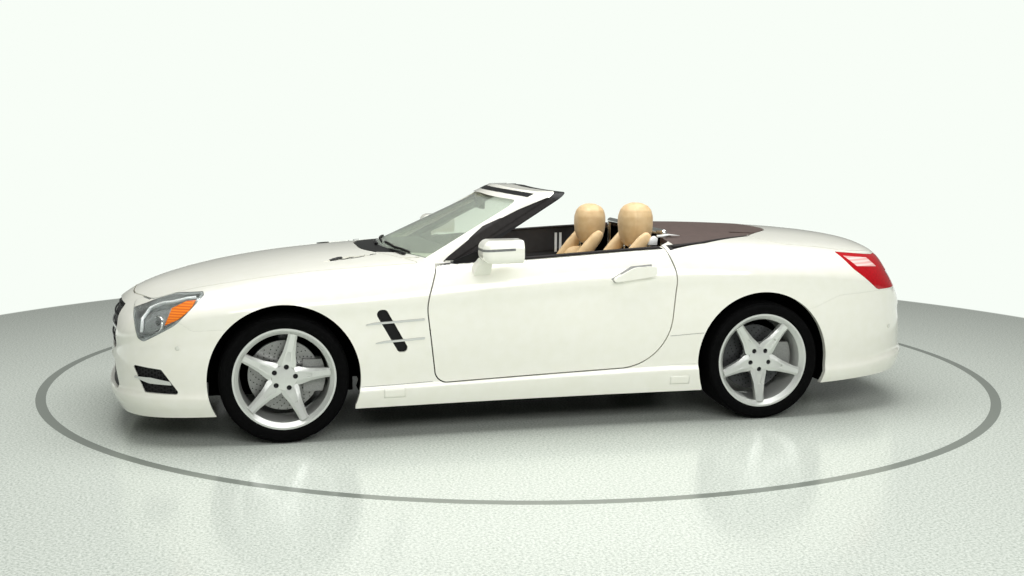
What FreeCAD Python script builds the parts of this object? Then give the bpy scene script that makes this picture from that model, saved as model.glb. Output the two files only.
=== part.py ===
import FreeCAD, Part
import os
from math import radians, sin, cos, tan, hypot, atan2
from FreeCAD import Vector as V

os.makedirs("parts", exist_ok=True)

# Two-seat roadster with its roof stowed. Millimetres, +Z up, nose at -X, the car's left at -Y.
# The origin is on the ground, in the middle of the length and width.

# ---------------------------------------------------------------- driving dimensions
LENGTH = 4612.0            # bumper to bumper
WHEELBASE = 2585.0
FRONT_OVERHANG = 895.0     # nose to front wheel centre
TRACK_FRONT = 1599.0
TRACK_REAR = 1604.0
TYRE_FRONT = (330.5, 255.0)    # radius, width (255/35 R19)
TYRE_REAR = (327.0, 285.0)     # radius, width (285/30 R19)
RIM_R = 241.3              # bead seat of a 19 inch rim
ARCH_R = 380.0             # wheel arch opening
SKIN = 30.0                # outer panel with its inner flange
DOOR_THICK = 112.0         # whole door, skin to trim
LID_THICK = 26.0           # bonnet, boot lid and deck
SEAM = 0.6                 # between fixed panels
SHUT = 6.5                 # round doors and lids
SEAT_GAP = 0.3             # fixed pieces that rest on each other
RUN = 0.3                  # running clearance of pins and hubs
WALL_STEP = 14.0           # door box inside its skin's edge
FLOOR_Z = 178.0            # underside of the floor
GROUND_EDGE = 50.0         # where the body net ends, below every lower edge

NOSE = -LENGTH / 2
TAIL = LENGTH / 2
X_FRONT = NOSE + FRONT_OVERHANG
X_REAR = X_FRONT + WHEELBASE
Z_FRONT = TYRE_FRONT[0] - 2.5      # the tyres flatten a little under load
Z_REAR = TYRE_REAR[0] - 2.0

# Places along the car are written as on the standard length; these four stations carry them to the
# lengths above, so panels stretch between the wheels while arches, seats and hinges keep their size.
#           standard  here
STATIONS = [(-2306.0, NOSE), (-1411.0, X_FRONT), (1174.0, X_REAR), (2306.0, TAIL)]


def along(x):
    for (x0, here0), (x1, here1) in zip(STATIONS, STATIONS[1:]):
        if x < x1:
            break
    return here0 + (x - x0) * (here1 - here0) / (x1 - x0)


def placed(rows):
    """Outline rows with their first value, the place along the car, carried to the lengths above."""
    return [(along(row[0]), *row[1:]) for row in rows]


pieces = {}


def put(name, shape):
    pieces[name] = shape


# ---------------------------------------------------------------- small helpers
def box(x0, x1, y0, y1, z0, z1):
    return Part.makeBox(x1 - x0, y1 - y0, z1 - z0, V(x0, y0, z0))


def rod(r, a, b):
    a, b = V(*a), V(*b)
    return Part.makeCylinder(r, (b - a).Length, a, b - a)


def fuse(shapes):
    out = shapes[0].fuse(list(shapes[1:]))
    return out.removeSplitter()


def mirror_y(shape):
    return shape.mirror(V(0, 0, 0), V(0, 1, 0))


def lofted(wires):
    """Ruled solid through closed wires."""
    solid = Part.makeLoft(wires, True, True)
    return solid if solid.Volume > 0 else Part.Solid(Part.Shell([f.reversed() for f in solid.Faces]))


def rounded(points):
    """Closed wire from (u, v, corner radius) points, already placed as 3-D vectors."""
    edges = []
    starts = []
    n = len(points)
    for i in range(n):
        p0, p1, p2 = points[i - 1][0], points[i][0], points[(i + 1) % n][0]
        r = points[i][1]
        if r <= 0:
            starts.append((p1, None, p1))
            continue
        a, b = (p0 - p1).normalize(), (p2 - p1).normalize()
        half = a.getAngle(b) / 2
        back = r / tan(half)
        mid = (a + b).normalize()
        centre = p1 + mid * (r / sin(half))
        starts.append((p1 + a * back, centre - mid * r, p1 + b * back))
    for i in range(n):
        s, m, e = starts[i]
        if m is not None:
            edges.append(Part.Arc(s, m, e).toShape())
        nxt = starts[(i + 1) % n][0]
        if (nxt - e).Length > 1e-4:
            edges.append(Part.makeLine(e, nxt))
    return Part.Wire(edges)


def side_wire(points, y):
    return rounded([(V(x, y, z), r) for x, z, r in points])


def plan_wire(points, z):
    return rounded([(V(x, y, z), r) for x, y, r in points])


def grown(wire, by):
    return wire if by == 0 else wire.makeOffset2D(by)


def side_prism(points, y0, y1, by=0.0):
    """Outline in the side view, extruded from y0 to y1."""
    wire = grown(side_wire(points, y0), by)
    return Part.Face(wire).extrude(V(0, y1 - y0, 0))


def front_prism(points, x0, x1, by=0.0):
    """Outline in the front view, rows of y, z and corner radius, extruded from x0 to x1."""
    wire = grown(rounded([(V(x0, y, z), r) for y, z, r in points]), by)
    return Part.Face(wire).extrude(V(x1 - x0, 0, 0))


def plan_prism(points, z0, z1, by=0.0):
    """Outline in the plan view, extruded from z0 to z1."""
    wire = grown(plan_wire(points, z0), by)
    return Part.Face(wire).extrude(V(0, 0, z1 - z0))


# ---------------------------------------------------------------- body surface
# One row per section, from the middle of the nose round the left side to the middle of the tail.
# side: plan position at hip height; tuck: how far the lower edge goes in; skirt: height of the ledge;
# line: height of the feature line; crown: top of the wing; spine: where the section meets the centre
# line; lean: share of the way from side to crown that the flank has gone by the shoulder.
#   x_side  y_side  tuck  skirt   line  x_crown y_crown z_crown x_spine z_spine lean
SECTIONS = [
    (-2306,    0.0,  60.0, 250.0, 490.0, -2298,    0.0, 600.0, -2262, 655.0, 0.50),
    (-2306, -240.0,  60.0, 250.0, 490.0, -2298, -240.0, 600.0, -2218, 692.0, 0.50),
    (-2276, -530.0,  70.0, 250.0, 510.0, -2226, -470.0, 626.0, -2130, 735.0, 0.50),
    (-2180, -760.0,  75.0, 250.0, 560.0, -2090, -640.0, 682.0, -1990, 778.0, 0.50),
    (-1990, -885.0,  70.0, 250.0, 620.0, -1900, -735.0, 748.0, -1830, 810.0, 0.50),
    (-1740, -932.0,  60.0, 250.0, 670.0, -1670, -780.0, 795.0, -1640, 843.0, 0.50),
    (-1411, -948.0,  45.0, 252.0, 695.0, -1400, -795.0, 835.0, -1380, 878.0, 0.50),
    (-1050, -938.0,  35.0, 256.0, 700.0, -1050, -800.0, 862.0, -1080, 908.0, 0.50),
    (-650,  -922.0,  35.0, 264.0, 722.0,  -650, -806.0, 886.0,  -700, 930.0, 0.50),
    (-150,  -914.0,  35.0, 276.0, 758.0,  -150, -822.0, 912.0,  -150, 955.0, 0.50),
    (400,   -916.0,  35.0, 290.0, 782.0,   400, -832.0, 944.0,   400, 990.0, 0.50),
    (850,   -934.0,  35.0, 300.0, 800.0,   850, -815.0, 964.0,   850, 1012.0, 0.50),
    (1230,  -952.0,  45.0, 275.0, 802.0,  1200, -775.0, 958.0,  1200, 1008.0, 0.50),
    (1600,  -932.0,  60.0, 250.0, 780.0,  1550, -745.0, 932.0,  1600, 990.0, 0.50),
    (1910,  -868.0,  75.0, 280.0, 735.0,  1850, -700.0, 905.0,  1880, 964.0, 0.50),
    (2130,  -735.0,  90.0, 308.0, 640.0,  2015, -620.0, 885.0,  2060, 932.0, 0.60),
    (2255,  -500.0, 100.0, 322.0, 500.0,  2110, -440.0, 855.0,  2122, 898.0, 0.72),
    (2306,  -240.0, 110.0, 330.0, 470.0,  2190, -230.0, 805.0,  2160, 872.0, 0.75),
    (2306,     0.0, 110.0, 330.0, 470.0,  2190,    0.0, 805.0,  2165, 868.0, 0.75),
]
LEDGE = 13.0               # how far the skirt stands out under the doors and bumpers


def section_poles(i):
    """Fifteen poles of one section, from the lower edge up and over to the centre line."""
    x, y, tuck, skirt, z_line, xc, yc, zc, xs, zs, lean = SECTIONS[i]
    x, xc, xs = along(x), along(xc), along(xs)
    before = SECTIONS[max(i - 1, 0)]
    after = SECTIONS[min(i + 1, len(SECTIONS) - 1)]
    dx, dy = along(after[0]) - along(before[0]), after[1] - before[1]
    if i in (0, len(SECTIONS) - 1):
        dx, dy = 0.0, (-1.0 if i == 0 else 1.0)
    size = hypot(dx, dy)
    inx, iny = -dy / size, dx / size           # plan direction into the car

    def hip(inset, z):
        return V(x + inx * inset, y + iny * inset, z)

    def flank(f, z):
        return V(x + (xc - x) * f, y + (yc - y) * f, z)

    return [
        hip(tuck, GROUND_EDGE),
        hip(0.45 * tuck, 150.0),
        hip(6.0 - LEDGE, skirt - 55.0),
        hip(-LEDGE, skirt - 8.0),
        hip(2.0 - LEDGE, skirt + 2.0),
        hip(4.0, skirt + 26.0),
        hip(0.0, skirt + 90.0),
        hip(2.0, 0.5 * (skirt + 90.0 + z_line)),
        hip(18.0, z_line - 45.0),
        hip(0.0, z_line + 4.0),
        flank(lean, z_line + 0.72 * (zc - z_line)),
        V(xc, yc, zc),
        V(xc + 0.55 * (xs - xc), 0.66 * yc, zc + 0.62 * (zs - zc)),
        V(xs, 0.30 * yc, zs),
        V(xs, 0.0, zs),
    ]


def clamped(count, degree=3):
    """Multiplicities and knots of a clamped uniform B-spline with that many poles."""
    inner = count - degree - 1
    return [degree + 1] + [1] * inner + [degree + 1], [float(k) for k in range(inner + 2)]


def net_face(net):
    mu, ku = clamped(len(net))
    mv, kv = clamped(len(net[0]))
    surface = Part.BSplineSurface()
    surface.buildFromPolesMultsKnots(net, mu, mv, ku, kv, False, False, 3, 3)
    return surface.toShape()


def offset_net(net, by):
    """The same net moved inward; the centre plane and the lower edge keep their planes."""
    rows, cols = len(net), len(net[0])
    out = []
    for i in range(rows):
        line = []
        for j in range(cols):
            a = net[min(i + 1, rows - 1)][j] - net[max(i - 1, 0)][j]
            b = net[i][min(j + 1, cols - 1)] - net[i][max(j - 1, 0)]
            if i in (0, rows - 1):
                a = V(0, -1 if i == 0 else 1, 0)
            if j == cols - 1:
                b = V(0, 1, 0)
            n = b.cross(a)
            if n.Length < 1e-6:
                n = V(0, 0, -1)
            if i in (0, rows - 1) or j == cols - 1:
                n.y = 0.0
            if j == 0:
                n.z = 0.0
            n.normalize()
            shared = j > 0 and (net[i][j] - net[i][j - 1]).Length < 1e-6
            line.append(line[-1] if shared else net[i][j] + n * by)
        out.append(line)
    return out


def closed_half(net):
    """Left half of the body as a solid: the surface, the middle plane and the bottom plane."""
    skin = net_face(net)
    foot = [e for e in skin.Edges if e.BoundBox.ZMax < GROUND_EDGE + 1]
    spine = [e for e in skin.Edges if e.BoundBox.ZMax > GROUND_EDGE + 1]
    ground = Part.makeLine(foot[0].Vertexes[0].Point, foot[0].Vertexes[-1].Point)
    middle = Part.Face(Part.Wire(Part.sortEdges(spine + [ground])[0]))
    bottom = Part.Face(Part.Wire(Part.sortEdges(foot + [ground])[0]))
    shell = Part.Shell([skin, middle, bottom])
    shell.sewShape()
    return Part.Solid(shell)


NET = [section_poles(i) for i in range(len(SECTIONS))]

# ---------------------------------------------------------------- outlines of panels and openings
SCUTTLE_HALF = 775.0       # the windscreen pillars stand on its ends
DOOR_TOP_IN = SCUTTLE_HALF + 9.0
# side outlines: x, z, corner radius
DOOR_OUTLINE = placed([
    (-590, 1150, 0), (-616, 884, 200), (-684, 690, 260), (-640, 282, 60),
    (615, 325, 300), (672, 800, 260), (560, 1150, 0),
])
SILL_OUTLINE = placed([(-1060, 262, 0), (-1060, 165, 0), (820, 175, 0), (820, 326, 0)])
FRONT_BUMPER_OUTLINE = placed([
    (-2500, 130, 0), (-1411, 160, 0), (-1411, 592, 0), (-1700, 590, 0), (-1852, 584, 14),
    (-1935, 640, 0), (-2035, 800, 0), (-2500, 800, 0),
])
REAR_BUMPER_OUTLINE = placed([
    (1174, 170, 0), (2500, 225, 0), (2500, 684, 0), (1900, 684, 60), (1637, 672, 120),
    (1476, 610, 0), (1174, 560, 0),
])
HEADLAMP_OUTLINE = placed([
    (-2160, 682, 20), (-2141, 620, 300), (-2119, 540, 24), (-2092, 524, 24), (-1935, 613, 200),
    (-1780, 766, 8), (-2023, 733, 300),
])
TAIL_LAMP_OUTLINE = placed([
    (1670, 902, 4), (1744, 812, 80), (1906, 690, 60), (2500, 690, 0), (2500, 872, 0), (1960, 872, 60),
])
# plan outlines, left half from front to rear: x, y, corner radius
BONNET_LEFT = placed([
    (-958, -240, 500), (-800, -560, 260), (-705, -742, 15), (-1650, -705, 900), (-2048, -575, 160),
    (-2178, -200, 500),
])
SCUTTLE_LEFT = placed([(-1000, -240, 0), (-860, -560, 0), (-700, -SCUTTLE_HALF, 0), (-540, -SCUTTLE_HALF, 0)])
COWL_LEFT = placed([(-1000, -240, 0), (-880, -380, 0), (-620, -545, 0), (-540, -560, 0)])
CABIN_LEFT = placed([(-540, -690, 60), (-470, -792, 200), (600, -800, 150), (700, -690, 60)])
DECK_LEFT = placed([(700, -690, 0), (700, -782, 0), (880, -728, 500), (1232, -532, 0), (1600, -180, 0)])
BOOT_LEFT = placed([
    (1500, -250, 300), (1238, -540, 60), (1340, -722, 160), (1790, -715, 300), (2060, -560, 150),
    (2500, -545, 0),
])
BONNET_VENT = placed([(-1190, -533, 4), (-1065, -440, 90), (-916, -462, 4), (-1030, -528, 300)])
# more side outlines: x, z, corner radius
SIDE_INTAKE = placed([(-2148, 406, 8), (-2008, 392, 10), (-1918, 268, 12), (-2090, 272, 8)])
INTAKE_BLADE = placed([(-2165, 350, 4), (-2060, 350, 60), (-1968, 334, 6), (-1956, 315, 4), (-2070, 320, 60)])
WING_VENT = placed([(-962, 668, 24), (-896, 668, 24), (-776, 448, 22), (-838, 448, 22)])
WING_FINS = [placed(row) for row in (
    [(-1026, 590, 2), (-700, 606, 3), (-700, 616, 3), (-960, 603, 60)],
    [(-977, 494, 2), (-700, 510, 3), (-700, 520, 3), (-910, 508, 60)],
)]
LAMP_INNER_FRONT = 400.0   # inner ends of the lamps, from the middle
LAMP_INNER_REAR = 553.0
LAMP_DEPTH = 70.0
LENS = 4.0
LAMP_WALL = 9.0
LID_REAR_Z = 692.0         # lower edge of the boot lid's rear face
# front views: from the middle, height, corner radius
GRILLE = [(-340, 655, 45), (-555, 560, 70), (-545, 450, 45), (545, 450, 45), (555, 560, 70), (340, 655, 45)]
LOWER_INTAKE = [(-540, 400, 15), (-640, 260, 15), (640, 260, 15), (540, 400, 15)]
PLATE_RECESS = [(-262, 600, 14), (-262, 486, 14), (262, 486, 14), (262, 600, 14)]
EXHAUST_OUTLET = [(-520, 306, 22), (-510, 236, 22), (-345, 236, 22), (-335, 306, 22)]

ARCHES = [(X_FRONT, Z_FRONT), (X_REAR, Z_REAR)]


def mirrored(points):
    """A left-hand plan outline closed with its mirror image."""
    return points + [(x, -y, r) for x, y, r in reversed(points)]


# ---------------------------------------------------------------- body layers
LAYERS = {}


def inside(depth):
    """The left half of everything deeper than depth under the surface."""
    if depth not in LAYERS:
        LAYERS[depth] = closed_half(offset_net(NET, depth)) if depth else closed_half(NET)
    return LAYERS[depth]


def layer(outer, inner):
    return inside(outer).cut(inside(inner))


def both(shape):
    return shape.fuse(mirror_y(shape))


def pair(name, left):
    put("left_" + name, left)
    put("right_" + name, mirror_y(left))


def pair_in_one(name, left):
    put(name, Part.makeCompound([left, mirror_y(left)]))


def biggest(shape):
    return max(shape.Solids, key=lambda s: s.Volume)


def arch_cut(i, extra=0.0):
    x, z = ARCHES[i]
    return rod(ARCH_R + extra, (x, -1100, z), (x, -500, z))


SKIN_WALL = layer(0.0, SKIN)
LID_WALL = layer(0.0, LID_THICK)
LEFT = (-1100.0, 5.0)
bonnet_prism = plan_prism(mirrored(BONNET_LEFT), 400, 1200)
bonnet_gap = plan_prism(mirrored(BONNET_LEFT), 400, 1200, SHUT)
boot_prism = plan_prism(mirrored(BOOT_LEFT), 400, 1200)
boot_gap = plan_prism(mirrored(BOOT_LEFT), 400, 1200, SHUT)
boot_gap = boot_gap.cut(box(TAIL - 400, TAIL + 300, -900, 900, 300, LID_REAR_Z - SHUT))
door_gap = side_prism(DOOR_OUTLINE, LEFT[0], -600, SHUT)
deck_gap = plan_prism(mirrored(DECK_LEFT), 400, 1200, SEAM)
cabin_gap = plan_prism(mirrored(CABIN_LEFT), 240, 1400)
scuttle_gap = plan_prism(mirrored(SCUTTLE_LEFT), 400, 1200, SEAM)
headlamp_gap = side_prism(HEADLAMP_OUTLINE, LEFT[0], -LAMP_INNER_FRONT + SEAM, SEAM)
tail_lamp_gap = side_prism(TAIL_LAMP_OUTLINE, LEFT[0], -LAMP_INNER_REAR + SEAM, SEAM)
front_bumper_prism = side_prism(FRONT_BUMPER_OUTLINE, *LEFT)
front_bumper_gap = side_prism(FRONT_BUMPER_OUTLINE, *LEFT, SEAM)
rear_bumper_prism = side_prism(REAR_BUMPER_OUTLINE, *LEFT)
rear_bumper_gap = side_prism(REAR_BUMPER_OUTLINE, *LEFT, SEAM)
sill_prism = side_prism(SILL_OUTLINE, *LEFT)
sill_gap = side_prism(SILL_OUTLINE, *LEFT, SEAM)

# ---------------------------------------------------------------- hinges
# Each has a pin fixed to the moving panel and an eye on a bracket of the body, or the reverse.
DOOR_HINGE = (along(-540.0), -900.0)   # x, y of the left door's axis
DOOR_HINGE_Z = (370.0, 540.0)
DOOR_PIN_R = 5.0
DOOR_EYE_R = 10.0
DOOR_HINGE_H = 44.0
BONNET_HINGE = (along(-698.0), 620.0, 895.0)   # x, distance from the middle, z
BOOT_HINGE = (along(1236.0), 430.0, 978.0)
LID_PIN_R = 4.0
LID_EYE_R = 7.5
LID_ARM = 16.0                         # arm's width along the pin
EAR = 6.0
PLATE_DEEP = 12.0
BONNET_VENT_DEEP = 9.0
TRIM_WALL = 7.0
TRIM_PROUD = 6.0
VENT_DEPTH = 16.0                      # the black panels and meshes lie this deep in their openings
FIN_PROUD = 4.0
SWING_ROOM = 5.0                       # more room behind the wings' edges as the door swings past them
WING_EDGE = 8.0                        # the edge itself is this thick and keeps the plain gap
HINGE_FRONT = DOOR_HINGE[0] - 180.0    # front of the pockets in the door
door_sweep = hypot(along(-684.0) - DOOR_HINGE[0], DOOR_THICK) + SHUT


def door_pocket(z):
    """Room in the door round one hinge strap."""
    x, y = DOOR_HINGE
    h = DOOR_HINGE_H / 2
    return box(HINGE_FRONT, x + DOOR_EYE_R + 6, y - DOOR_EYE_R - 1, -700, z - h, z + h)


def door_pin(z):
    x, y = DOOR_HINGE
    h = DOOR_HINGE_H / 2
    return rod(DOOR_PIN_R, (x, y, z - h), (x, y, z + h))


def door_strap(z):
    """Gooseneck on the hinge post: forward arm, cross arm and eye."""
    x, y = DOOR_HINGE
    h = DOOR_HINGE_H / 2 - 6
    strap = box(FIREWALL_X, x + DOOR_EYE_R, -768, -754, z - h, z + h)
    strap = strap.fuse(box(x - 8, x + DOOR_EYE_R, y, -754, z - h, z + h))
    strap = strap.fuse(rod(DOOR_EYE_R, (x, y, z - h), (x, y, z + h)))
    return strap.cut(rod(DOOR_PIN_R + RUN, (x, y, z - h), (x, y, z + h)))


def lid_arm(hinge, reach, drop):
    """Arm from under a lid to its hinge eye; reach is signed, towards the lid."""
    x, y, z = hinge
    y0, y1 = -y - LID_ARM / 2, -y + LID_ARM / 2
    arm = side_prism([(x, z - LID_EYE_R, 0), (x, z + LID_EYE_R - 2, 0), (x + reach, z + drop + 9, 0),
                      (x + reach, z + drop - 9, 0)], y0, y1)
    arm = arm.fuse(rod(LID_EYE_R, (x, y0, z), (x, y1, z)))
    return arm.cut(rod(LID_PIN_R + RUN, (x, y0, z), (x, y1, z)))


def lid_bracket(hinge, foot_x0, foot_x1, foot_z):
    """Two ears on the body with the pin across them."""
    x, y, z = hinge
    y0, y1 = -y - LID_ARM / 2 - 1.0, -y + LID_ARM / 2 + 1.0
    out = rod(LID_PIN_R, (x, y0 - EAR, z), (x, y1 + EAR, z))
    for a, b in ((y0 - EAR, y0), (y1, y1 + EAR)):
        ear = side_prism([(foot_x0, foot_z, 0), (foot_x1, foot_z, 0), (x + LID_EYE_R - 1, z, 0),
                          (x, z + LID_EYE_R - 1, 4), (x - LID_EYE_R + 1, z, 0)], a, b)
        out = out.fuse(ear)
    return out


def lid_slot(hinge, x0, x1):
    y = -hinge[1]
    half = LID_ARM / 2 + EAR + 2.0
    return box(x0, x1, y - half, y + half, 400, 1200)


# ---------------------------------------------------------------- outer panels
door_skin = layer(0.0, SKIN).common(side_prism(DOOR_OUTLINE, LEFT[0], -DOOR_TOP_IN))
door_box = layer(SKIN, DOOR_THICK).common(side_prism(DOOR_OUTLINE, LEFT[0], -DOOR_TOP_IN, -WALL_STEP))
door = door_skin.fuse(door_box).cut([cabin_gap] + [door_pocket(z) for z in DOOR_HINGE_Z])
swing = rod(-DOOR_HINGE[1] - SCUTTLE_HALF - SHUT, (*DOOR_HINGE, 800), (*DOOR_HINGE, 1200))
top_corner = box(HINGE_FRONT, DOOR_HINGE[0], DOOR_HINGE[1] + 10, -700, 800, 1200).cut(swing)
door = biggest(door.cut(top_corner))
door = biggest(door.fuse([door_pin(z) for z in DOOR_HINGE_Z]))
pair("door", door)

bonnet_vent = plan_prism(BONNET_VENT, 400, 1200).common(layer(-5.0, BONNET_VENT_DEEP))
bonnet = LID_WALL.common(bonnet_prism).cut(bonnet_vent).fuse(lid_arm(BONNET_HINGE, -150.0, -24.0))
put("bonnet", biggest(both(bonnet)))
boot = LID_WALL.common(boot_prism).cut(box(TAIL - 400, TAIL + 300, -900, 900, 0, LID_REAR_Z))
boot = boot.fuse(lid_arm(BOOT_HINGE, 190.0, -14.0))
put("boot_lid", biggest(both(boot)))

swing_gap = side_prism(DOOR_OUTLINE, DOOR_HINGE[1] - 2, -600, SHUT + SWING_ROOM).common(inside(WING_EDGE))
front_side = box(NOSE - 100, along(-560), -1100, 5, 150, 1200)
fender = SKIN_WALL.common(front_side)
fender_cuts = [bonnet_gap, door_gap, arch_cut(0), scuttle_gap, headlamp_gap, front_bumper_gap,
               sill_gap, cabin_gap, swing_gap, side_prism(WING_VENT, LEFT[0], -800)]
fender_cuts += [side_prism(fin, LEFT[0], -800, SEAM) for fin in WING_FINS]
fender = biggest(fender.cut(fender_cuts))
pair_in_one("front_wings", fender)
vent = layer(VENT_DEPTH, VENT_DEPTH + 8.0).common(side_prism(WING_VENT, LEFT[0], -800, -SEAM))
fins = [layer(-FIN_PROUD, VENT_DEPTH + 1.0).common(side_prism(fin, LEFT[0], -800)) for fin in WING_FINS]
pair_in_one("wing_vents", fuse([vent] + fins))

quarter = SKIN_WALL.common(box(along(300), TAIL + 100, -1100, -1, 150, 1200))
quarter_cuts = [boot_gap, door_gap, swing_gap, arch_cut(1), deck_gap, tail_lamp_gap, rear_bumper_gap,
                sill_gap, cabin_gap]
quarter = biggest(quarter.cut(quarter_cuts))
pair_in_one("rear_wings", quarter)

sill = SKIN_WALL.common(sill_prism).cut([arch_cut(0), arch_cut(1), door_gap])
pair_in_one("sills", biggest(sill))

nose = (NOSE - 200, NOSE + 300)
intake_side = (LEFT[0], -600)
bumper = SKIN_WALL.common(front_bumper_prism).cut([
    bonnet_gap, arch_cut(0), headlamp_gap, front_prism(GRILLE, *nose), front_prism(LOWER_INTAKE, *nose),
    side_prism(SIDE_INTAKE, *intake_side), side_prism(INTAKE_BLADE, *intake_side, SEAM),
])
put("front_bumper", biggest(both(bumper)))
mesh = layer(VENT_DEPTH, VENT_DEPTH + 8.0)
meshes = [biggest(both(mesh.common(front_prism(part, *nose, -SEAM)).cut(bonnet_gap)))
          for part in (GRILLE, LOWER_INTAKE)]
corner_mesh = mesh.common(side_prism(SIDE_INTAKE, *intake_side, -SEAM))
put("grille", Part.makeCompound(meshes + [corner_mesh, mirror_y(corner_mesh)]))
blade = layer(-FIN_PROUD, VENT_DEPTH - SEAT_GAP).common(side_prism(INTAKE_BLADE, *intake_side))
pair_in_one("intake_blades", biggest(blade))

tail = (TAIL - 400, TAIL + 300)
plate_recess = front_prism(PLATE_RECESS, *tail).common(layer(-5.0, PLATE_DEEP))
bumper = SKIN_WALL.common(rear_bumper_prism)
bumper = bumper.cut([arch_cut(1), tail_lamp_gap, boot_gap, plate_recess, front_prism(EXHAUST_OUTLET, *tail)])
put("rear_bumper", biggest(both(bumper)))
trim = front_prism(EXHAUST_OUTLET, *tail, -SEAM).cut(front_prism(EXHAUST_OUTLET, *tail, -TRIM_WALL))
trim = biggest(trim.common(layer(-TRIM_PROUD, SKIN)))

scuttle = LID_WALL.common(plan_prism(mirrored(SCUTTLE_LEFT), 400, 1200)).cut([bonnet_gap, cabin_gap])
cowl = scuttle.common(plan_prism(mirrored(COWL_LEFT), 400, 1200))
put("cowl", biggest(both(cowl)))
scuttle = scuttle.cut([plan_prism(mirrored(COWL_LEFT), 400, 1200, SEAM),
                       lid_slot(BONNET_HINGE, BONNET_HINGE[0] - 200, BONNET_HINGE[0] + 16)])
pair_in_one("scuttle", biggest(scuttle))
deck = LID_WALL.common(plan_prism(mirrored(DECK_LEFT), 400, 1200))
deck = deck.cut([boot_gap, lid_slot(BOOT_HINGE, BOOT_HINGE[0] - 64, BOOT_HINGE[0] + 200)])
put("rear_deck", biggest(both(deck)))

lamp_room = side_prism(HEADLAMP_OUTLINE, LEFT[0], -LAMP_INNER_FRONT).cut(bonnet_gap)
hollow = side_prism(HEADLAMP_OUTLINE, LEFT[0], -LAMP_INNER_FRONT - LAMP_WALL, -LAMP_WALL)
hollow = layer(LENS, LAMP_DEPTH - LAMP_WALL).common(hollow)
hollow = hollow.cut(plan_prism(mirrored(BONNET_LEFT), 400, 1200, SHUT + LAMP_WALL))
bowl = layer(LENS + SEAT_GAP, LAMP_DEPTH).common(lamp_room).cut(hollow)
pair_in_one("headlamps", biggest(bowl))
pair_in_one("headlamp_lenses", biggest(layer(0.0, LENS).common(lamp_room)))
lamp = layer(0.0, LAMP_DEPTH).common(side_prism(TAIL_LAMP_OUTLINE, LEFT[0], -LAMP_INNER_REAR))
pair_in_one("tail_lamps", biggest(lamp.cut(boot_gap)))


# ---------------------------------------------------------------- windscreen
# Two arcs, base and top: half width, corner x, middle x, corner z, middle z, across the glass
SCREEN_X = along(-606.0)       # foot of the pillars
SCREEN_BASE = (SCUTTLE_HALF - 2.0, SCREEN_X, SCREEN_X - 262.0, 868.0, 906.0)
SCREEN_TOP = (612.0, SCREEN_X + 611.0, SCREEN_X + 486.0, 1222.0, 1240.0)
PILLAR = 62.0                  # pillar seen from the front, square to its edge
HEADER_TOP = (607.0, 1243.0, 1262.0)   # half width, height at the corners and in the middle
HEADER_DROP = 46.0             # header seen from the front
SCREEN_THICK = 46.0
GLASS = 6.0
SEAL_THICK = 34.0
SEAL_WIDE = 50.0
SEAL_INSET = 4.0


def screen_level(f, trim=0.0):
    """Half width, corner and middle points a share f of the way up the screen."""
    half, xc, xm, zc, zm = [a + (b - a) * f for a, b in zip(SCREEN_BASE, SCREEN_TOP)]
    share = (half - trim) / half
    drop = 1 - share * share
    return half - trim, xc + (xm - xc) * drop, xm, zc + (zm - zc) * drop, zm


def screen_section(f, thick, trim=0.0, sunk=0.0):
    """A thin bow-shaped wire across the screen; thick and sunk are measured square to the slope."""
    half, xc, xm, zc, zm = screen_level(f, trim)
    slope = atan2(SCREEN_TOP[3] - SCREEN_BASE[3], SCREEN_TOP[1] - SCREEN_BASE[1])
    bow = V(xm - xc, 0, zm - zc).normalize()
    unit = bow * (1 / bow.dot(V(-sin(slope), 0, cos(slope))))
    ends = [V(xc, -half, zc), V(xm, 0, zm), V(xc, half, zc)]
    a = [p + unit * (thick / 2 - sunk) for p in ends]
    b = [p - unit * (thick / 2 + sunk) for p in ends]
    return Part.Wire([Part.Arc(*a).toShape(), Part.makeLine(a[2], b[2]),
                      Part.Arc(*reversed(b)).toShape(), Part.makeLine(b[0], a[0])])


def screen_slab(thick, sunk=0.0):
    """The whole screen and a margin round it as one bowed slab."""
    return lofted([screen_section(f, thick, -60.0, sunk) for f in (-0.1, 1.14)])


def screen_outline(inset, drop):
    """The screen seen from the front, its pillars inset and its header lowered."""
    half, side_z, middle_z = HEADER_TOP
    foot, foot_z = SCREEN_BASE[0], 820.0
    run = (half - foot) / (side_z - SCREEN_BASE[3])
    shift = inset * hypot(1.0, run)
    top = half - shift - run * drop
    low = foot - shift + run * (foot_z - SCREEN_BASE[3])
    points = [(-low, foot_z, 0), (-top, side_z - drop, 80), (0, middle_z - drop, 3000),
              (top, side_z - drop, 80), (low, foot_z, 0)]
    return front_prism(points, SCREEN_X - 600, SCREEN_X + 900)


above_scuttle = both(inside(-SEAT_GAP))
slab = screen_slab(SCREEN_THICK)
frame = slab.common(screen_outline(0.0, 0.0)).cut(screen_outline(PILLAR, HEADER_DROP))
put("windscreen_frame", biggest(frame.cut(above_scuttle)))
glass = screen_slab(GLASS).common(screen_outline(PILLAR + SEAT_GAP, HEADER_DROP + SEAT_GAP))
put("windscreen", biggest(glass.cut(above_scuttle)))
seal = screen_slab(SEAL_THICK, (SCREEN_THICK + SEAL_THICK) / 2 + SEAT_GAP)
seal = seal.common(screen_outline(SEAL_INSET, SEAL_INSET))
seal = seal.cut(screen_outline(SEAL_INSET + SEAL_WIDE, SEAL_INSET + SEAL_WIDE))
put("screen_seal", biggest(seal.cut(above_scuttle)))

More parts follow.
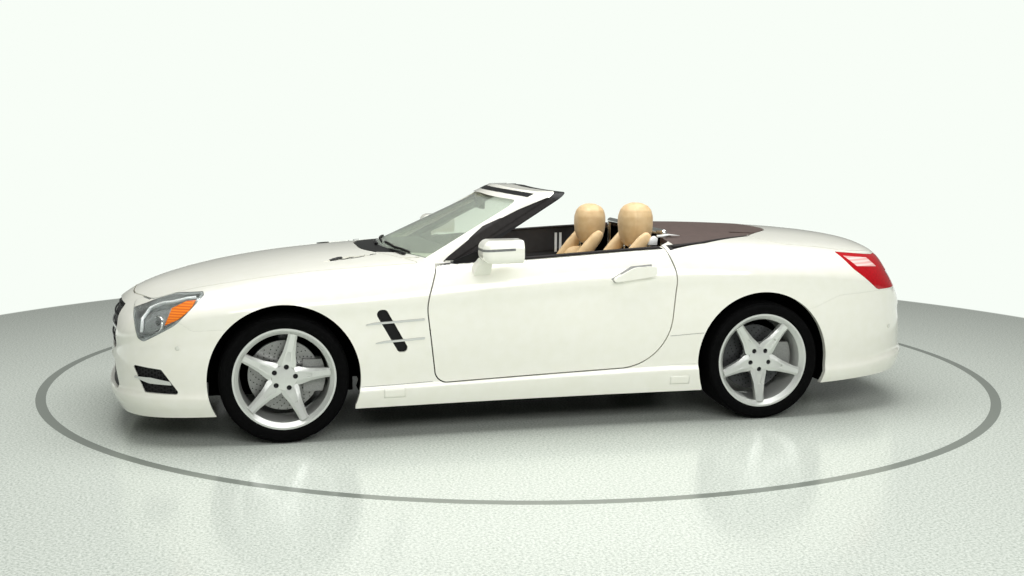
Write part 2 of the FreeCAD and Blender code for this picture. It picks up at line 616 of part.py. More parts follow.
# ---------------------------------------------------------------- body tub
low = Z_FRONT - 137.0          # lower and upper arm height at the front
high = Z_FRONT + 187.0
HUB_PLATE = 30.0           # how far the wheel's seat lies outside the middle of the rim
y_front = TRACK_FRONT / 2
y_rear = TRACK_REAR / 2
FLOOR = 25.0
DOOR_IN = 912.0 - DOOR_THICK    # inside of the doors
FIREWALL_X = along(-735.0)
BULKHEAD_X = along(790.0)
BOOT_FLOOR_Z = 400.0
STEER_Y = 690.0            # steering axis from the middle
JACK_X = (along(-880.0), along(640.0))
JACK_Z = 163.0
LINER_FRONT = 424.0
LINER_REAR = 402.0
LINER = 8.0
LINER_FOOT_Z = 186.0
LINER_IN_FRONT = 470.0
LINER_IN_REAR = 632.0
TUNNEL_HALF = 140.0
TUNNEL_Z = 330.0
SHEET = 12.0


def liner(i, r, y_in, grow=0.0):
    """Wheel house of the left side as a drum, grown or not by its own wall."""
    x, z = ARCHES[i]
    return rod(r + grow, (x, -1000, z), (x, -y_in + grow, z))


RAIL_IN = 400.0            # front rails, their inner face from the middle
RAIL_X = along(-2120.0)
BOOT_REAR_X = along(2110.0)
FLOOR_FRONT_X = along(-980.0)
floor = [
    box(FLOOR_FRONT_X, BULKHEAD_X + 10, -880, 0, FLOOR_Z, FLOOR_Z + FLOOR),
    box(FLOOR_FRONT_X, BULKHEAD_X + 10, -900, -DOOR_IN - 12, FLOOR_Z, 300),
    box(JACK_X[0] - 45, JACK_X[0] + 45, -860, -790, JACK_Z, FLOOR_Z + 5),
    box(JACK_X[1] - 45, JACK_X[1] + 45, -860, -790, JACK_Z, FLOOR_Z + 5),
    box(FIREWALL_X, FIREWALL_X + 20, -900, 0, FLOOR_Z, 1000),
    box(BULKHEAD_X, BULKHEAD_X + 20, -900, 0, FLOOR_Z, 1100),
    box(FIREWALL_X, along(-560), -930, -DOOR_IN + 30, FLOOR_Z, 1000),
    box(along(620), BULKHEAD_X + 20, -930, -DOOR_IN + 4, FLOOR_Z, 1100),
    box(RAIL_X, FIREWALL_X + 5, -LINER_IN_FRONT + LINER / 2, -RAIL_IN, 420, 520),
    box(RAIL_X - 30, RAIL_X + 40, -600, 0, 400, 500),
    box(BULKHEAD_X, BOOT_REAR_X + 20, -LINER_IN_REAR + LINER, 0, BOOT_FLOOR_Z, BOOT_FLOOR_Z + 14),
    box(BOOT_REAR_X, BOOT_REAR_X + 40, -700, 0, BOOT_FLOOR_Z, LID_REAR_Z - 2),
    box(BULKHEAD_X, BOOT_REAR_X + 40, -LINER_IN_REAR, -LINER_IN_REAR + 16, BOOT_FLOOR_Z, 1100),
]
for i, r, y_in in ((0, LINER_FRONT, LINER_IN_FRONT), (1, LINER_REAR, LINER_IN_REAR)):
    over_axle = box(NOSE, TAIL, -1000, 0, FLOOR_Z + 60, 1000)
    beside_axle = box(NOSE, TAIL, -1000, -y_in - 1, LINER_FOOT_Z, 1000)
    floor.append(liner(i, r, y_in, LINER).common(over_axle.fuse(beside_axle)))
tub = floor[0].fuse(floor[1:])
tub = tub.common(inside(SKIN + SEAT_GAP))
tub = tub.cut([liner(0, LINER_FRONT, LINER_IN_FRONT), liner(1, LINER_REAR, LINER_IN_REAR)])
tub = tub.cut([
    side_prism(DOOR_OUTLINE, LEFT[0], -DOOR_IN + 20, SHUT),
    rod(door_sweep, (*DOOR_HINGE, 260), (*DOOR_HINGE, 1200)),
    box(FIREWALL_X - 25, BULKHEAD_X + 30, -TUNNEL_HALF, 1, 0, TUNNEL_Z),
    tail_lamp_gap,
    box(X_REAR - 220, X_REAR + 220, -LINER_IN_REAR - 1, -600, 0, BOOT_FLOOR_Z),
    box(X_FRONT - 60.3, X_FRONT + 60.3, -480, -399, high - 13, high + 13),
])
tub = tub.fuse([
    box(FIREWALL_X, BULKHEAD_X, -TUNNEL_HALF - SHEET, -TUNNEL_HALF, FLOOR_Z, TUNNEL_Z + SHEET),
    box(FIREWALL_X, BULKHEAD_X, -TUNNEL_HALF - SHEET, 0, TUNNEL_Z, TUNNEL_Z + SHEET),
])
deep = plan_prism(mirrored(BONNET_LEFT), 400, 1200, SHUT)
tub = tub.cut(inside(0).common(deep).cut(inside(LID_THICK + SHUT)))
tub = tub.cut(inside(0).common(boot_gap).cut(inside(LID_THICK + SHUT)))
front_frame = tub.common(box(NOSE, FIREWALL_X - SEAT_GAP, -1000, 0, 0, 1200))
boot_tub = tub.common(box(BULKHEAD_X + 20 + SEAT_GAP, TAIL, -1000, 0, 0, 1200))
cabin_tub = tub.common(box(FIREWALL_X, BULKHEAD_X + 20, -1000, 0, 0, 1200))
hinge_arm = box(BULKHEAD_X, BOOT_HINGE[0] - 16, -BOOT_HINGE[1] - 20, -BOOT_HINGE[1] + 20, 925, 942)
cabin_tub = cabin_tub.fuse([door_strap(z) for z in DOOR_HINGE_Z] + [
    lid_bracket(BONNET_HINGE, FIREWALL_X, FIREWALL_X + 20, 760),
    lid_bracket(BOOT_HINGE, BOOT_HINGE[0] - 60, BOOT_HINGE[0] - 20, 940),
    hinge_arm,
])
put("front_frame", biggest(both(front_frame)))
put("cabin_tub", biggest(both(cabin_tub)))
put("boot_tub", biggest(both(boot_tub.cut(hinge_arm))))

# ---------------------------------------------------------------- wheels, brakes and knuckles
RIM_FRONT_W = 216.0        # between the bead seats
RIM_REAR_W = 241.0
FLANGE = 17.0
HUB_BORE = 30.0
DISC_R = 180.0
DISC_THICK = 32.0


def y_revolve(points, x, y, z):
    """Section points (along the axle from the wheel's middle, radius) turned about the axle."""
    wire = Part.makePolygon([V(x, y + a, z + r) for a, r in points + points[:1]])
    return Part.Face(wire).revolve(V(x, y, z), V(0, 1, 0), 360)


def tyre(x, y, z, radius, width, rim_width):
    """Tyre section with flat tread, round shoulders and bulged walls."""
    w, b = width / 2, rim_width / 2
    bead = RIM_R + SEAT_GAP
    lip = RIM_R + FLANGE + 1.5
    wall = radius - lip

    def at(a, r):
        return V(x, y + a, z + r)

    def flank(s):
        """One side, from the bead to the shoulder."""
        p = [at(s * (b - SEAT_GAP), bead), at(s * (b - SEAT_GAP), lip), at(s * (b + 9), lip + 1.0),
             at(s * w, lip + 0.42 * wall), at(s * 0.86 * w, radius - 5.0)]
        return p, [
            Part.makeLine(p[0], p[1]),
            Part.makeLine(p[1], p[2]),
            Part.Arc(p[2], at(s * (0.3 * b + 0.7 * w + 2.7), lip + 0.16 * wall), p[3]).toShape(),
            Part.Arc(p[3], at(s * 0.965 * w, lip + 0.78 * wall), p[4]).toShape(),
        ]

    right, edges = flank(1)
    left, more = flank(-1)
    edges = edges + [Part.Arc(right[4], at(0, radius), left[4]).toShape()]
    edges = edges + more[::-1] + [Part.makeLine(left[0], right[0])]
    wire = Part.Wire(Part.sortEdges(edges)[0])
    return Part.Face(wire).revolve(V(x, y, z), V(0, 1, 0), 360)


# One spoke from the hub out: radius, half width, then the depth of its front and back behind the
# rim's face; the back of the first two is the seat on the hub.
SPOKE = [
    (30, 46, 34, None), (78, 46, 28, None), (92, 42, 25, 60), (130, 32, 16, 58), (190, 25, 6, 48),
    (RIM_R - 10, 23, -3, 40),
]
BOLT_CIRCLE_R = 56.0
BOLT_HOLE_R = 13.0
STUB_OUT = 24.0            # how far the stub axle reaches out of the hub's seat


def spoke_section(x, y, z, half, front, back):
    """Section of a spoke: a broad ridge in front, straight sides and a flat back."""
    corners = [V(x - half, y + front + 9, z), V(x - half * 0.5, y + front, z),
               V(x + half * 0.5, y + front, z), V(x + half, y + front + 9, z),
               V(x + half * 0.9, y + back, z), V(x - half * 0.9, y + back, z)]
    return Part.makePolygon(corners + corners[:1])


def turned(shape, x, y, z, angle):
    out = shape.copy()
    out.rotate(V(x, y, z), V(0, 1, 0), angle)
    return out


def rim(x, y, z, rim_width, phase):
    """Rim of the left side: barrel, five tapered spokes and the hub; outside is -Y."""
    b = rim_width / 2
    f = RIM_R + FLANGE
    section = [
        (-b - 7, f), (-b - 7, f - 10), (-b + 16, RIM_R - 14), (b - 70, RIM_R - 22), (b + 7, RIM_R - 14),
        (b + 7, f), (b, f), (b, RIM_R), (b - 20, RIM_R - 4), (b - 60, RIM_R - 10), (-b + 20, RIM_R - 6),
        (-b, RIM_R), (-b, f),
    ]
    barrel = y_revolve(section, x, y, z)
    seat = -HUB_PLATE
    face = -b + 4.0
    cap = seat - STUB_OUT - 3.0
    hub = y_revolve([(seat, HUB_BORE + RUN), (seat, 78), (seat - 26, 74), (face + 30, 62),
                     (face + 26, 30), (face + 24, 0.0), (cap, 0.0), (cap, HUB_BORE + RUN)], x, y, z)
    spoke = lofted([spoke_section(x, y, z + r, half, face + front, seat if back is None else face + back)
                    for r, half, front, back in SPOKE])
    cuts = [rod(BOLT_HOLE_R, (x, y - 200, z + BOLT_CIRCLE_R), (x, y + seat - 14, z + BOLT_CIRCLE_R))]
    groove = [(-15, 80, 8), (15, 80, 8), (8, 138, 6), (-8, 138, 6)]
    wire = rounded([(V(x + u, y - 200, z + v), r) for u, v, r in groove])
    cuts.append(Part.Face(wire).extrude(V(0, 200 + face + 27.0, 0)))
    solid = barrel.fuse([hub] + [turned(spoke, x, y, z, phase + 72 * k) for k in range(5)])
    return solid.cut([turned(cut, x, y, z, phase + 72 * k) for cut in cuts for k in range(5)])


def disc(x, y, z):
    """Ventilated brake disc with its hat; the hat's face meets the rim's hub."""
    seat = -HUB_PLATE + SEAT_GAP
    inner = seat + 62.0
    return y_revolve([(seat, HUB_BORE + RUN), (seat, 82), (inner - DISC_THICK, 90),
                      (inner - DISC_THICK, DISC_R), (inner, DISC_R), (inner, 84), (seat + 8, 74),
                      (seat + 8, HUB_BORE + RUN)], x, y, z)


WHEELS = [
    # name, wheel centre x, y, z, tyre radius, tyre width, rim width, first spoke angle
    ("front", X_FRONT, -y_front, Z_FRONT, TYRE_FRONT, RIM_FRONT_W, 4.0),
    ("rear", X_REAR, -y_rear, Z_REAR, TYRE_REAR, RIM_REAR_W, 54.0),
]
for name, x, y, z, (radius, width), rim_width, phase in WHEELS:
    for side, flip in (("left", lambda s: s), ("right", mirror_y)):
        put(side + "_" + name + "_tyre", flip(tyre(x, y, z, radius - 2.2, width, rim_width)))
        put(side + "_" + name + "_rim", flip(rim(x, y, z, rim_width, phase)))
        put(side + "_" + name + "_disc", flip(disc(x, y, z)))


def hub_carrier(x, y, z):
    """Stub axle, carrier plate and brake caliper on the rear side of the disc."""
    disc_in = y - HUB_PLATE + 62.0 + SEAT_GAP
    y_plate = disc_in + 12.0
    stub = rod(HUB_BORE, (x, y - HUB_PLATE - STUB_OUT, z), (x, y_plate, z))
    plate = rod(72, (x, y_plate, z), (x, y_plate + 30, z))
    upright = box(x - 34, x + 34, y_plate, y_plate + 30, z - 125, z + 175)
    bracket = box(x, x + DISC_R + 4, y_plate, y_plate + 20, z - 45, z + 45)
    bridge_r = DISC_R + 4.0
    y_out = y - HUB_PLATE + 62.0 - DISC_THICK - 34.0
    wide = rod(bridge_r + 24, (x, y_out, z), (x, y_plate + 20, z))
    wide = wide.common(box(x + 95, x + 300, -1000, 0, z - 82, z + 82))
    slot = rod(bridge_r, (x, y_out + 30, z), (x, y_plate - 6, z))
    caliper = wide.cut(slot)
    return fuse([stub, plate, upright, bracket, caliper])


knuckle = hub_carrier(X_FRONT, -y_front, Z_FRONT)
pin = [rod(14, (X_FRONT, -STEER_Y, Z_FRONT - 150), (X_FRONT, -STEER_Y, Z_FRONT - 90)),
       rod(14, (X_FRONT, -STEER_Y, Z_FRONT + 150), (X_FRONT, -STEER_Y, Z_FRONT + 200))]
bosses = [box(X_FRONT - 34, X_FRONT + 34, -STEER_Y - 70, -STEER_Y + 25, Z_FRONT - 125, Z_FRONT - 90),
          box(X_FRONT - 34, X_FRONT + 34, -STEER_Y - 70, -STEER_Y + 25, Z_FRONT + 140, Z_FRONT + 175)]
knuckle = fuse([knuckle] + pin + bosses)
pair("knuckle", knuckle)

# ---------------------------------------------------------------- axles under the body
def arm(x0, y0, z0, x1, y1, z1, width=50.0, thick=20.0):
    """Flat link from the subframe to the wheel, laid across the car."""
    side = V(width / 2, 0, 0)
    a, b = V(x0, y0, z0), V(x1, y1, z1)
    wires = []
    for p in (a, b):
        c = [p - side + V(0, 0, -thick / 2), p + side + V(0, 0, -thick / 2),
             p + side + V(0, 0, thick / 2), p - side + V(0, 0, thick / 2)]
        wires.append(Part.makePolygon(c + c[:1]))
    return lofted(wires)


eye_low = rod(30, (X_FRONT, -STEER_Y, low - 13), (X_FRONT, -STEER_Y, low + 11))
eye_high = rod(30, (X_FRONT, -STEER_Y, high - 11), (X_FRONT, -STEER_Y, high + 13))
front = [
    box(X_FRONT - 160, X_FRONT + 160, -400, 0, low - 13, low + 50),
    arm(X_FRONT - 120, -390, low, X_FRONT, -STEER_Y, low),
    arm(X_FRONT + 120, -390, low, X_FRONT, -STEER_Y, low),
    arm(X_FRONT, -440, high + 1, X_FRONT, -STEER_Y, high + 1),
    box(X_FRONT - 60, X_FRONT + 60, -461, -400, low, high + 14),
    eye_low, eye_high,
]
front = fuse(front)
for z in (low, high):
    front = front.cut(rod(14 + RUN, (X_FRONT, -STEER_Y, z - 30), (X_FRONT, -STEER_Y, z + 30)))
front = front.cut(box(X_FRONT - 70, X_FRONT + 70, -461, -399, 420, 520))
put("front_axle", both(front))

carrier = hub_carrier(X_REAR, -y_rear, Z_REAR)
rear = [
    carrier,
    box(X_REAR - 170, X_REAR + 170, -430, 0, Z_REAR - 60, Z_REAR + 40),
    arm(X_REAR - 120, -420, Z_REAR - 45, X_REAR, -y_rear + 58, Z_REAR - 110, 60),
    arm(X_REAR + 120, -420, Z_REAR - 45, X_REAR, -y_rear + 58, Z_REAR - 110, 60),
    arm(X_REAR, -420, Z_REAR + 5, X_REAR, -y_rear + 58, Z_REAR + 70, 50),
    rod(24, (X_REAR, -y_rear + 60, Z_REAR), (X_REAR, -400, Z_REAR)),
    rod(30, (X_REAR - 130, -380, Z_REAR), (X_REAR - 130, -380, BOOT_FLOOR_Z - SEAT_GAP)),
    rod(30, (X_REAR + 130, -380, Z_REAR), (X_REAR + 130, -380, BOOT_FLOOR_Z - SEAT_GAP)),
]
put("rear_axle", both(fuse(rear)))
put("engine", box(X_FRONT - 489, X_FRONT + 411, -330, 330, low + 50 + SEAT_GAP, 738))

# ---------------------------------------------------------------- cabin
# dashboard in the side view: behind the firewall, height, corner radius
DASH = [(35, 560, 0), (35, 830, 30), (175, 862, 40), (405, 850, 40), (435, 700, 60), (305, 540, 30)]
dash = side_prism([(FIREWALL_X + back, z, r) for back, z, r in DASH], -730, 730)
dash = dash.common(both(inside(LID_THICK + 6)))
dash = biggest(dash)
CONSOLE_HALF = 130.0
CONSOLE_Z = TUNNEL_Z + SHEET + SEAT_GAP
CONSOLE = placed([(-560, CONSOLE_Z, 0), (-480, 560, 40), (-100, 560, 120), (520, 470, 60),
                  (560, CONSOLE_Z, 0)])
console = side_prism(CONSOLE, -CONSOLE_HALF, CONSOLE_HALF)
put("centre_console", console)
room = side_prism(CONSOLE, -CONSOLE_HALF - SEAT_GAP, CONSOLE_HALF + SEAT_GAP, SEAT_GAP)
put("dashboard", dash.cut(room))

SEAT_Y = 385.0
SEAT_X = BULKHEAD_X - 398.0    # back of the driver's cushion
SEAT_TOP = 900.0
SEAT_HALF = 226.0
# the passenger's seat is run forward and lowered: y, then forward and down
SEATS = [(-SEAT_Y, 0.0, 0.0), (SEAT_Y, 39.0, 50.0)]
# side views: place from the back of the cushion, height, corner radius
CUSHION = [(-550, 300, 60), (-550, 470, 80), (0, 420, 20), (0, 300, 10)]
BACKREST = [(SEAT_GAP, 330, 5), (SEAT_GAP, 420, 10), (-50, 452, 30), (105, SEAT_TOP, 50), (235, SEAT_TOP, 50),
            (150, 330, 60)]
HEADREST = (98.0, 122.0, 132.0)    # half length, width and height


def seat_cushion(y):
    return side_prism([(SEAT_X + x, z, r) for x, z, r in CUSHION], y - SEAT_HALF, y + SEAT_HALF)


def seat_back(y):
    return side_prism([(SEAT_X + x, z, r) for x, z, r in BACKREST], y - SEAT_HALF + 4, y + SEAT_HALF - 4)


def headrest(y):
    ball = Part.makeSphere(1.0)
    m = FreeCAD.Matrix()
    m.scale(*HEADREST)
    ball = ball.transformGeometry(m)
    ball.translate(V(SEAT_X + 218, y, SEAT_TOP + 7 + HEADREST[2]))
    foot = (SEAT_X + 170, y, SEAT_TOP + SEAT_GAP)
    return ball.fuse(rod(12, foot, (SEAT_X + 170, y, SEAT_TOP + 60)))


def seated(build, y, forward, down):
    """One part of a seat where that seat stands; its rails fill the room down to the floor."""
    shape = build(y)
    shape.translate(V(-forward, 0, -down))
    if build is seat_cushion:
        x = SEAT_X - forward
        shape = shape.fuse(box(x - 470, x - 50, y - 200, y + 200, FLOOR_Z + FLOOR + SEAT_GAP, 310 - down))
    return shape


for name, build in (("seat_cushions", seat_cushion), ("seat_backs", seat_back), ("headrests", headrest)):
    put(name, Part.makeCompound([seated(build, *seat) for seat in SEATS]))

# steering column and wheel; the axis leans back towards the driver
WHEEL_AT = V(FIREWALL_X + 545.0, -SEAT_Y, 770.0)
COLUMN_TILT = 24.0
axis = V(-cos(radians(COLUMN_TILT)), 0, -sin(radians(COLUMN_TILT)))
grip = Part.makeTorus(178, 15, WHEEL_AT, axis)
boss = Part.makeCylinder(55, 70, WHEEL_AT + axis * 15, axis)
spokes = []
for turn in (0, 180, 90):
    spoke = box(0, 8, 40, 174, -17, 17)
    spoke.rotate(V(0, 0, 0), V(1, 0, 0), turn)
    hub = FreeCAD.Placement(WHEEL_AT + axis * 20, FreeCAD.Rotation(V(1, 0, 0), axis * -1))
    spoke.Placement = hub.multiply(spoke.Placement)
    spokes.append(spoke)
put("steering_wheel", fuse([grip, boss] + spokes))
column = Part.makeCylinder(36, 300, WHEEL_AT + axis * (85 + SEAT_GAP), axis)
put("steering_column", column)
hole = Part.makeCylinder(36 + SEAT_GAP, 400, WHEEL_AT + axis * 85, axis)
put("dashboard", biggest(pieces["dashboard"].cut(hole)))


ROLL_BAR_R = 19.0
ROLL_BAR_X = BULKHEAD_X - 45.0
ROLL_BAR_HALF = 110.0
ROLL_BAR_TOP = 1000.0


def roll_bar(y):
    """Hoop behind one seat, on a foot that is bolted to the bulkhead."""
    left, right = y - ROLL_BAR_HALF, y + ROLL_BAR_HALF
    legs = [rod(ROLL_BAR_R, (ROLL_BAR_X, leg, 700), (ROLL_BAR_X, leg, ROLL_BAR_TOP)) for leg in (left, right)]
    top = rod(ROLL_BAR_R, (ROLL_BAR_X, left, ROLL_BAR_TOP), (ROLL_BAR_X, right, ROLL_BAR_TOP))
    corners = [Part.makeSphere(ROLL_BAR_R, V(ROLL_BAR_X, leg, ROLL_BAR_TOP)) for leg in (left, right)]
    foot = box(ROLL_BAR_X - 15, BULKHEAD_X - SEAT_GAP, left - 50, right + 50, 680, 702)
    return fuse(legs + [top, foot] + corners)


put("roll_bars", Part.makeCompound([roll_bar(-SEAT_Y), roll_bar(SEAT_Y)]))
bar_gap = box(ROLL_BAR_X - 65, ROLL_BAR_X + 25, -560, 560, 900, 1100)
put("rear_deck", biggest(pieces["rear_deck"].cut(bar_gap)))

# ---------------------------------------------------------------- mirrors, handles, exhaust
MIRROR_X = DOOR_HINGE[0] + 117.0   # front of the housing
MIRROR_REAR = MIRROR_X + 208.0
MIRROR_Y = (-1085.0, -885.0)
MIRROR_Z = (903.0, 1022.0)
MIRROR_ROUND = 46.0
MIRROR_RIM = 9.0
MIRROR_DEEP = 8.0
# foot from the housing to the door: y, then front and rear from the housing's front, lower and upper edges
MIRROR_FOOT = [(-935.0, 0.0, 74.0, 890.0, 925.0), (-850.0, -20.0, 72.0, 800.0, 870.0)]
# black corner piece between the door, the pillar and the mirror: x from the hinge, z, corner radius
CORNER_PIECE = [(12, 870, 0), (12, 898, 6), (150, 950, 14), (150, 870, 0)]


def block(inset, x1):
    """Mirror housing, or its inside, with rounded edges; the rear is cut off flat later."""
    shape = box(MIRROR_X + inset, x1, MIRROR_Y[0] + inset, MIRROR_Y[1] - inset, MIRROR_Z[0] + inset,
                MIRROR_Z[1] - inset)
    return shape.makeFillet(MIRROR_ROUND - inset, shape.Edges)


housing = block(0.0, MIRROR_REAR + MIRROR_ROUND)
housing = housing.cut(box(MIRROR_REAR, MIRROR_REAR + 200, -1200, -800, 800, 1100))
recess = block(MIRROR_RIM, MIRROR_REAR + MIRROR_ROUND)
recess = recess.common(box(MIRROR_REAR - MIRROR_DEEP, MIRROR_REAR + 200, -1200, -800, 800, 1100))
wires = []
for y, fore, aft, z0, z1 in MIRROR_FOOT:
    x0, x1 = MIRROR_X + fore, MIRROR_X + aft
    wires.append(Part.makePolygon([V(x0, y, z1), V(x1, y, z1), V(x1, y, z0), V(x0, y, z0), V(x0, y, z1)]))
mirror = fuse([housing.cut(recess), lofted(wires)])
corner = [(DOOR_HINGE[0] + x, z, r) for x, z, r in CORNER_PIECE]
corner = side_prism(corner, -DOOR_TOP_IN - 10, -DOOR_TOP_IN - 2)
pair("mirror", Part.makeCompound([biggest(shape.cut(inside(-SEAT_GAP))) for shape in (mirror, corner)]))

# side view of the pull handle: x, z, corner radius
HANDLE = placed([
    (303, 783, 6), (330, 783, 20), (525, 806, 20), (545, 824, 10), (540, 860, 14), (420, 858, 120),
    (318, 804, 14),
])
HANDLE_HAND = (along(352.0), along(500.0))     # room for the fingers
HANDLE_Y = (-949.0, -936.0)
grip = side_prism(HANDLE, *HANDLE_Y)
posts = side_prism(HANDLE, HANDLE_Y[0], -850, -3.0).cut(box(*HANDLE_HAND, HANDLE_Y[1], -800, 700, 900))
pair("door_handle", biggest(fuse([grip, posts]).cut(inside(-SEAT_GAP))))

# exhaust: pipe along the tunnel, silencer and tail pipe on each side behind the rear wheels
PIPE_R = 26.0
PIPE_Z = 226.0
SILENCER = (along(1640.0), -430.0, 268.0)
elbow = (SILENCER[0] - 80, -60, PIPE_Z)
pipe = fuse([
    rod(32, (SILENCER[0] + 60, *SILENCER[1:]), (along(2165), *SILENCER[1:])),
    rod(92, SILENCER, (SILENCER[0] + 210, *SILENCER[1:])),
    rod(PIPE_R, (along(-700), -60, PIPE_Z), elbow),
    rod(PIPE_R, elbow, (SILENCER[0] + 60, *SILENCER[1:])),
    rod(9, (SILENCER[0] + 105, SILENCER[1], 300), (SILENCER[0] + 105, SILENCER[1], BOOT_FLOOR_Z - SEAT_GAP)),
    Part.makeSphere(PIPE_R, V(*elbow)),
])
put("exhaust", Part.makeCompound([pipe, trim, mirror_y(pipe), mirror_y(trim)]))

for name, shape in pieces.items():
    shape.exportStep("parts/" + name + ".step")
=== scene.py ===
from math import ceil, cos, hypot, pi, radians, sin

import bmesh
import bpy
from mathutils import Matrix, Vector
from mathutils.bvhtree import BVHTree


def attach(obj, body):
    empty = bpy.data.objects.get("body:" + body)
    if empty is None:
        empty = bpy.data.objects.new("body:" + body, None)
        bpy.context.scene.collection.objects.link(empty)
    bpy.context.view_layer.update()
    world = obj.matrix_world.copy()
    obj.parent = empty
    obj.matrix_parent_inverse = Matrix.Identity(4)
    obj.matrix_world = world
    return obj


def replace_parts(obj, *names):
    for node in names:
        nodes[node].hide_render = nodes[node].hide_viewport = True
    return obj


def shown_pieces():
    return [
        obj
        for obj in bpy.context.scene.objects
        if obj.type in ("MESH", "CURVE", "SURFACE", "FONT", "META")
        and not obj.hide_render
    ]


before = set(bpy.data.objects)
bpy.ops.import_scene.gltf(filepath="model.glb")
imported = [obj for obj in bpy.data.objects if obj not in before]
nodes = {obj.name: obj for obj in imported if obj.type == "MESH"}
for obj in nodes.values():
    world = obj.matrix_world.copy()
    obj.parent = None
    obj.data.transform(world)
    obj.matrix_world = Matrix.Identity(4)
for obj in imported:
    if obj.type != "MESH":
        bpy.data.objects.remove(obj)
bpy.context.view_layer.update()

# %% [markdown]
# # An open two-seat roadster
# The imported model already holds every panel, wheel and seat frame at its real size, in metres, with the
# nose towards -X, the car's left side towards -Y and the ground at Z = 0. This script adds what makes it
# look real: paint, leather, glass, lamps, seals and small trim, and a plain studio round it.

MM = 0.001
SIDES = (("left", -1), ("right", 1))
HUBS = {"front": (-1411.0, 328.0), "rear": (1174.0, 325.0)}      # x and z of each axle's wheels, mm

# %% [markdown]
# ## Camera
# The camera stands a little ahead of the driver's door, at a grown person's eye height, and looks slightly
# down and towards the tail, which is how such a car is usually shown. A 41 mm lens keeps the proportions.

# %% Camera at eye height beside the car
CAMERA_AT = Vector((-1.6275, -6.830, 1.556))
TURNED, LOOKS_DOWN, ROLLED = 0.2302, 0.1300, 0.0043      # radians
LENS_MM, SENSOR_MM = 41.46, 36.0
camera = bpy.data.objects.new("camera", bpy.data.cameras.new("camera"))
bpy.context.scene.collection.objects.link(camera)
camera.data.lens = LENS_MM
camera.data.sensor_width = SENSOR_MM
camera.location = CAMERA_AT
ahead = Vector((sin(TURNED) * cos(LOOKS_DOWN), cos(TURNED) * cos(LOOKS_DOWN), -sin(LOOKS_DOWN)))
camera.rotation_mode = "QUATERNION"
level = ahead.to_track_quat("-Z", "Y").to_matrix()
camera.rotation_quaternion = (level @ Matrix.Rotation(ROLLED, 3, "Z")).to_quaternion()
bpy.context.scene.camera = camera
print("camera looks along", [round(v, 3) for v in ahead])

# %% [markdown]
# ## Materials, from colour to shader
# Colours are written as sRGB hex values, as a paint chart would give them. Blender's shaders work in linear
# light, so one function turns a hex value into linear numbers. A second function adds one shader node with
# its settings and links, which keeps every material below as short as its recipe.

# %% Colour and node helpers
def ink(hex_value):
    """Linear RGBA from an sRGB hex value such as F2F0E6."""
    parts = [int(hex_value[i:i + 2], 16) / 255 for i in (0, 2, 4)]
    linear = [p / 12.92 if p <= 0.04045 else ((p + 0.055) / 1.055) ** 2.4 for p in parts]
    return (*linear, 1.0)


def add(tree, kind, settings=None, stops=(), **inputs):
    """One node of that kind. Settings are its properties and stops the places and hex colours of a ramp;
    inputs are values, colours or other nodes' outputs, by the socket's name or by _ and its number."""
    made = tree.nodes.new(kind)
    for name, value in (settings or {}).items():
        setattr(made, name, value)
    for k, (place, hex_value) in enumerate(stops):
        element = made.color_ramp.elements[k] if k < 2 else made.color_ramp.elements.new(place)
        element.position, element.color = place, ink(hex_value)
    for name, value in inputs.items():
        socket = made.inputs[int(name[1:])] if name[1:].isdigit() else made.inputs[name.replace("_", " ")]
        if isinstance(value, bpy.types.NodeSocket):
            tree.links.new(value, socket)
        else:
            socket.default_value = value
    return made


# %% [markdown]
# No real surface has one flat colour. Most materials below wander between two near tones in blobs of a
# given size, and some also have a relief, which is a small height pattern that only bends the shading. Both
# are tied to the object's own coordinates, so they stay on the piece when it moves.

# %% A material with its tones and its relief
def coloured(made, factor, *stops):
    """Lets a pattern choose the base colour."""
    tree = made.node_tree
    ramp = add(tree, "ShaderNodeValToRGB", stops=stops, Fac=factor)
    tree.links.new(ramp.outputs["Color"], tree.nodes["Principled BSDF"].inputs["Base Color"])


def raised(made, height, depth_mm, strength):
    """Lets a height pattern catch the light; the depth is what a height of 1 stands for."""
    tree = made.node_tree
    bump = add(tree, "ShaderNodeBump", Strength=strength, Distance=depth_mm * MM, Height=height)
    tree.links.new(bump.outputs["Normal"], tree.nodes["Principled BSDF"].inputs["Normal"])


def noise(tree, size_mm):
    """Soft blobs about size_mm across, fixed to the object."""
    place = add(tree, "ShaderNodeTexCoord").outputs["Object"]
    return add(tree, "ShaderNodeTexNoise", Vector=place, Scale=1 / (size_mm * MM)).outputs["Fac"]


def material(name, colour, tones=None, relief=None, **values):
    """Tones are blob size in mm and two colours; relief is blob size, depth in mm and strength."""
    made = bpy.data.materials.new(name)
    made.use_nodes = True
    shader = made.node_tree.nodes["Principled BSDF"]
    shader.inputs["Base Color"].default_value = ink(colour)
    for socket, value in values.items():
        shader.inputs[socket.replace("_", " ")].default_value = value
    if tones:
        size_mm, dark, pale = tones
        coloured(made, noise(made.node_tree, size_mm), (0.3, dark), (0.7, pale))
    if relief:
        size_mm, depth_mm, strength = relief
        raised(made, noise(made.node_tree, size_mm), depth_mm, strength)
    print(f"{name}: roughness {shader.inputs['Roughness'].default_value:.2f}")
    return made


# %% [markdown]
# ## Body paint
# The body is steel and aluminium under a warm white solid paint with a clear lacquer. The eye sees a creamy
# base colour, a sharp second reflection from the lacquer and a barely visible ripple, the orange peel of a
# sprayed coat, 9 mm from crest to crest.

# %% Warm white lacquered paint
white_paint = material("white_solid_car_paint", "EFEEE2", (60.0, "EEEDE0", "F1F0E5"), (9.0, 0.02, 0.15),
                       Roughness=0.38, IOR=1.5, Coat_Weight=1.0, Coat_Roughness=0.04, Coat_IOR=1.5)
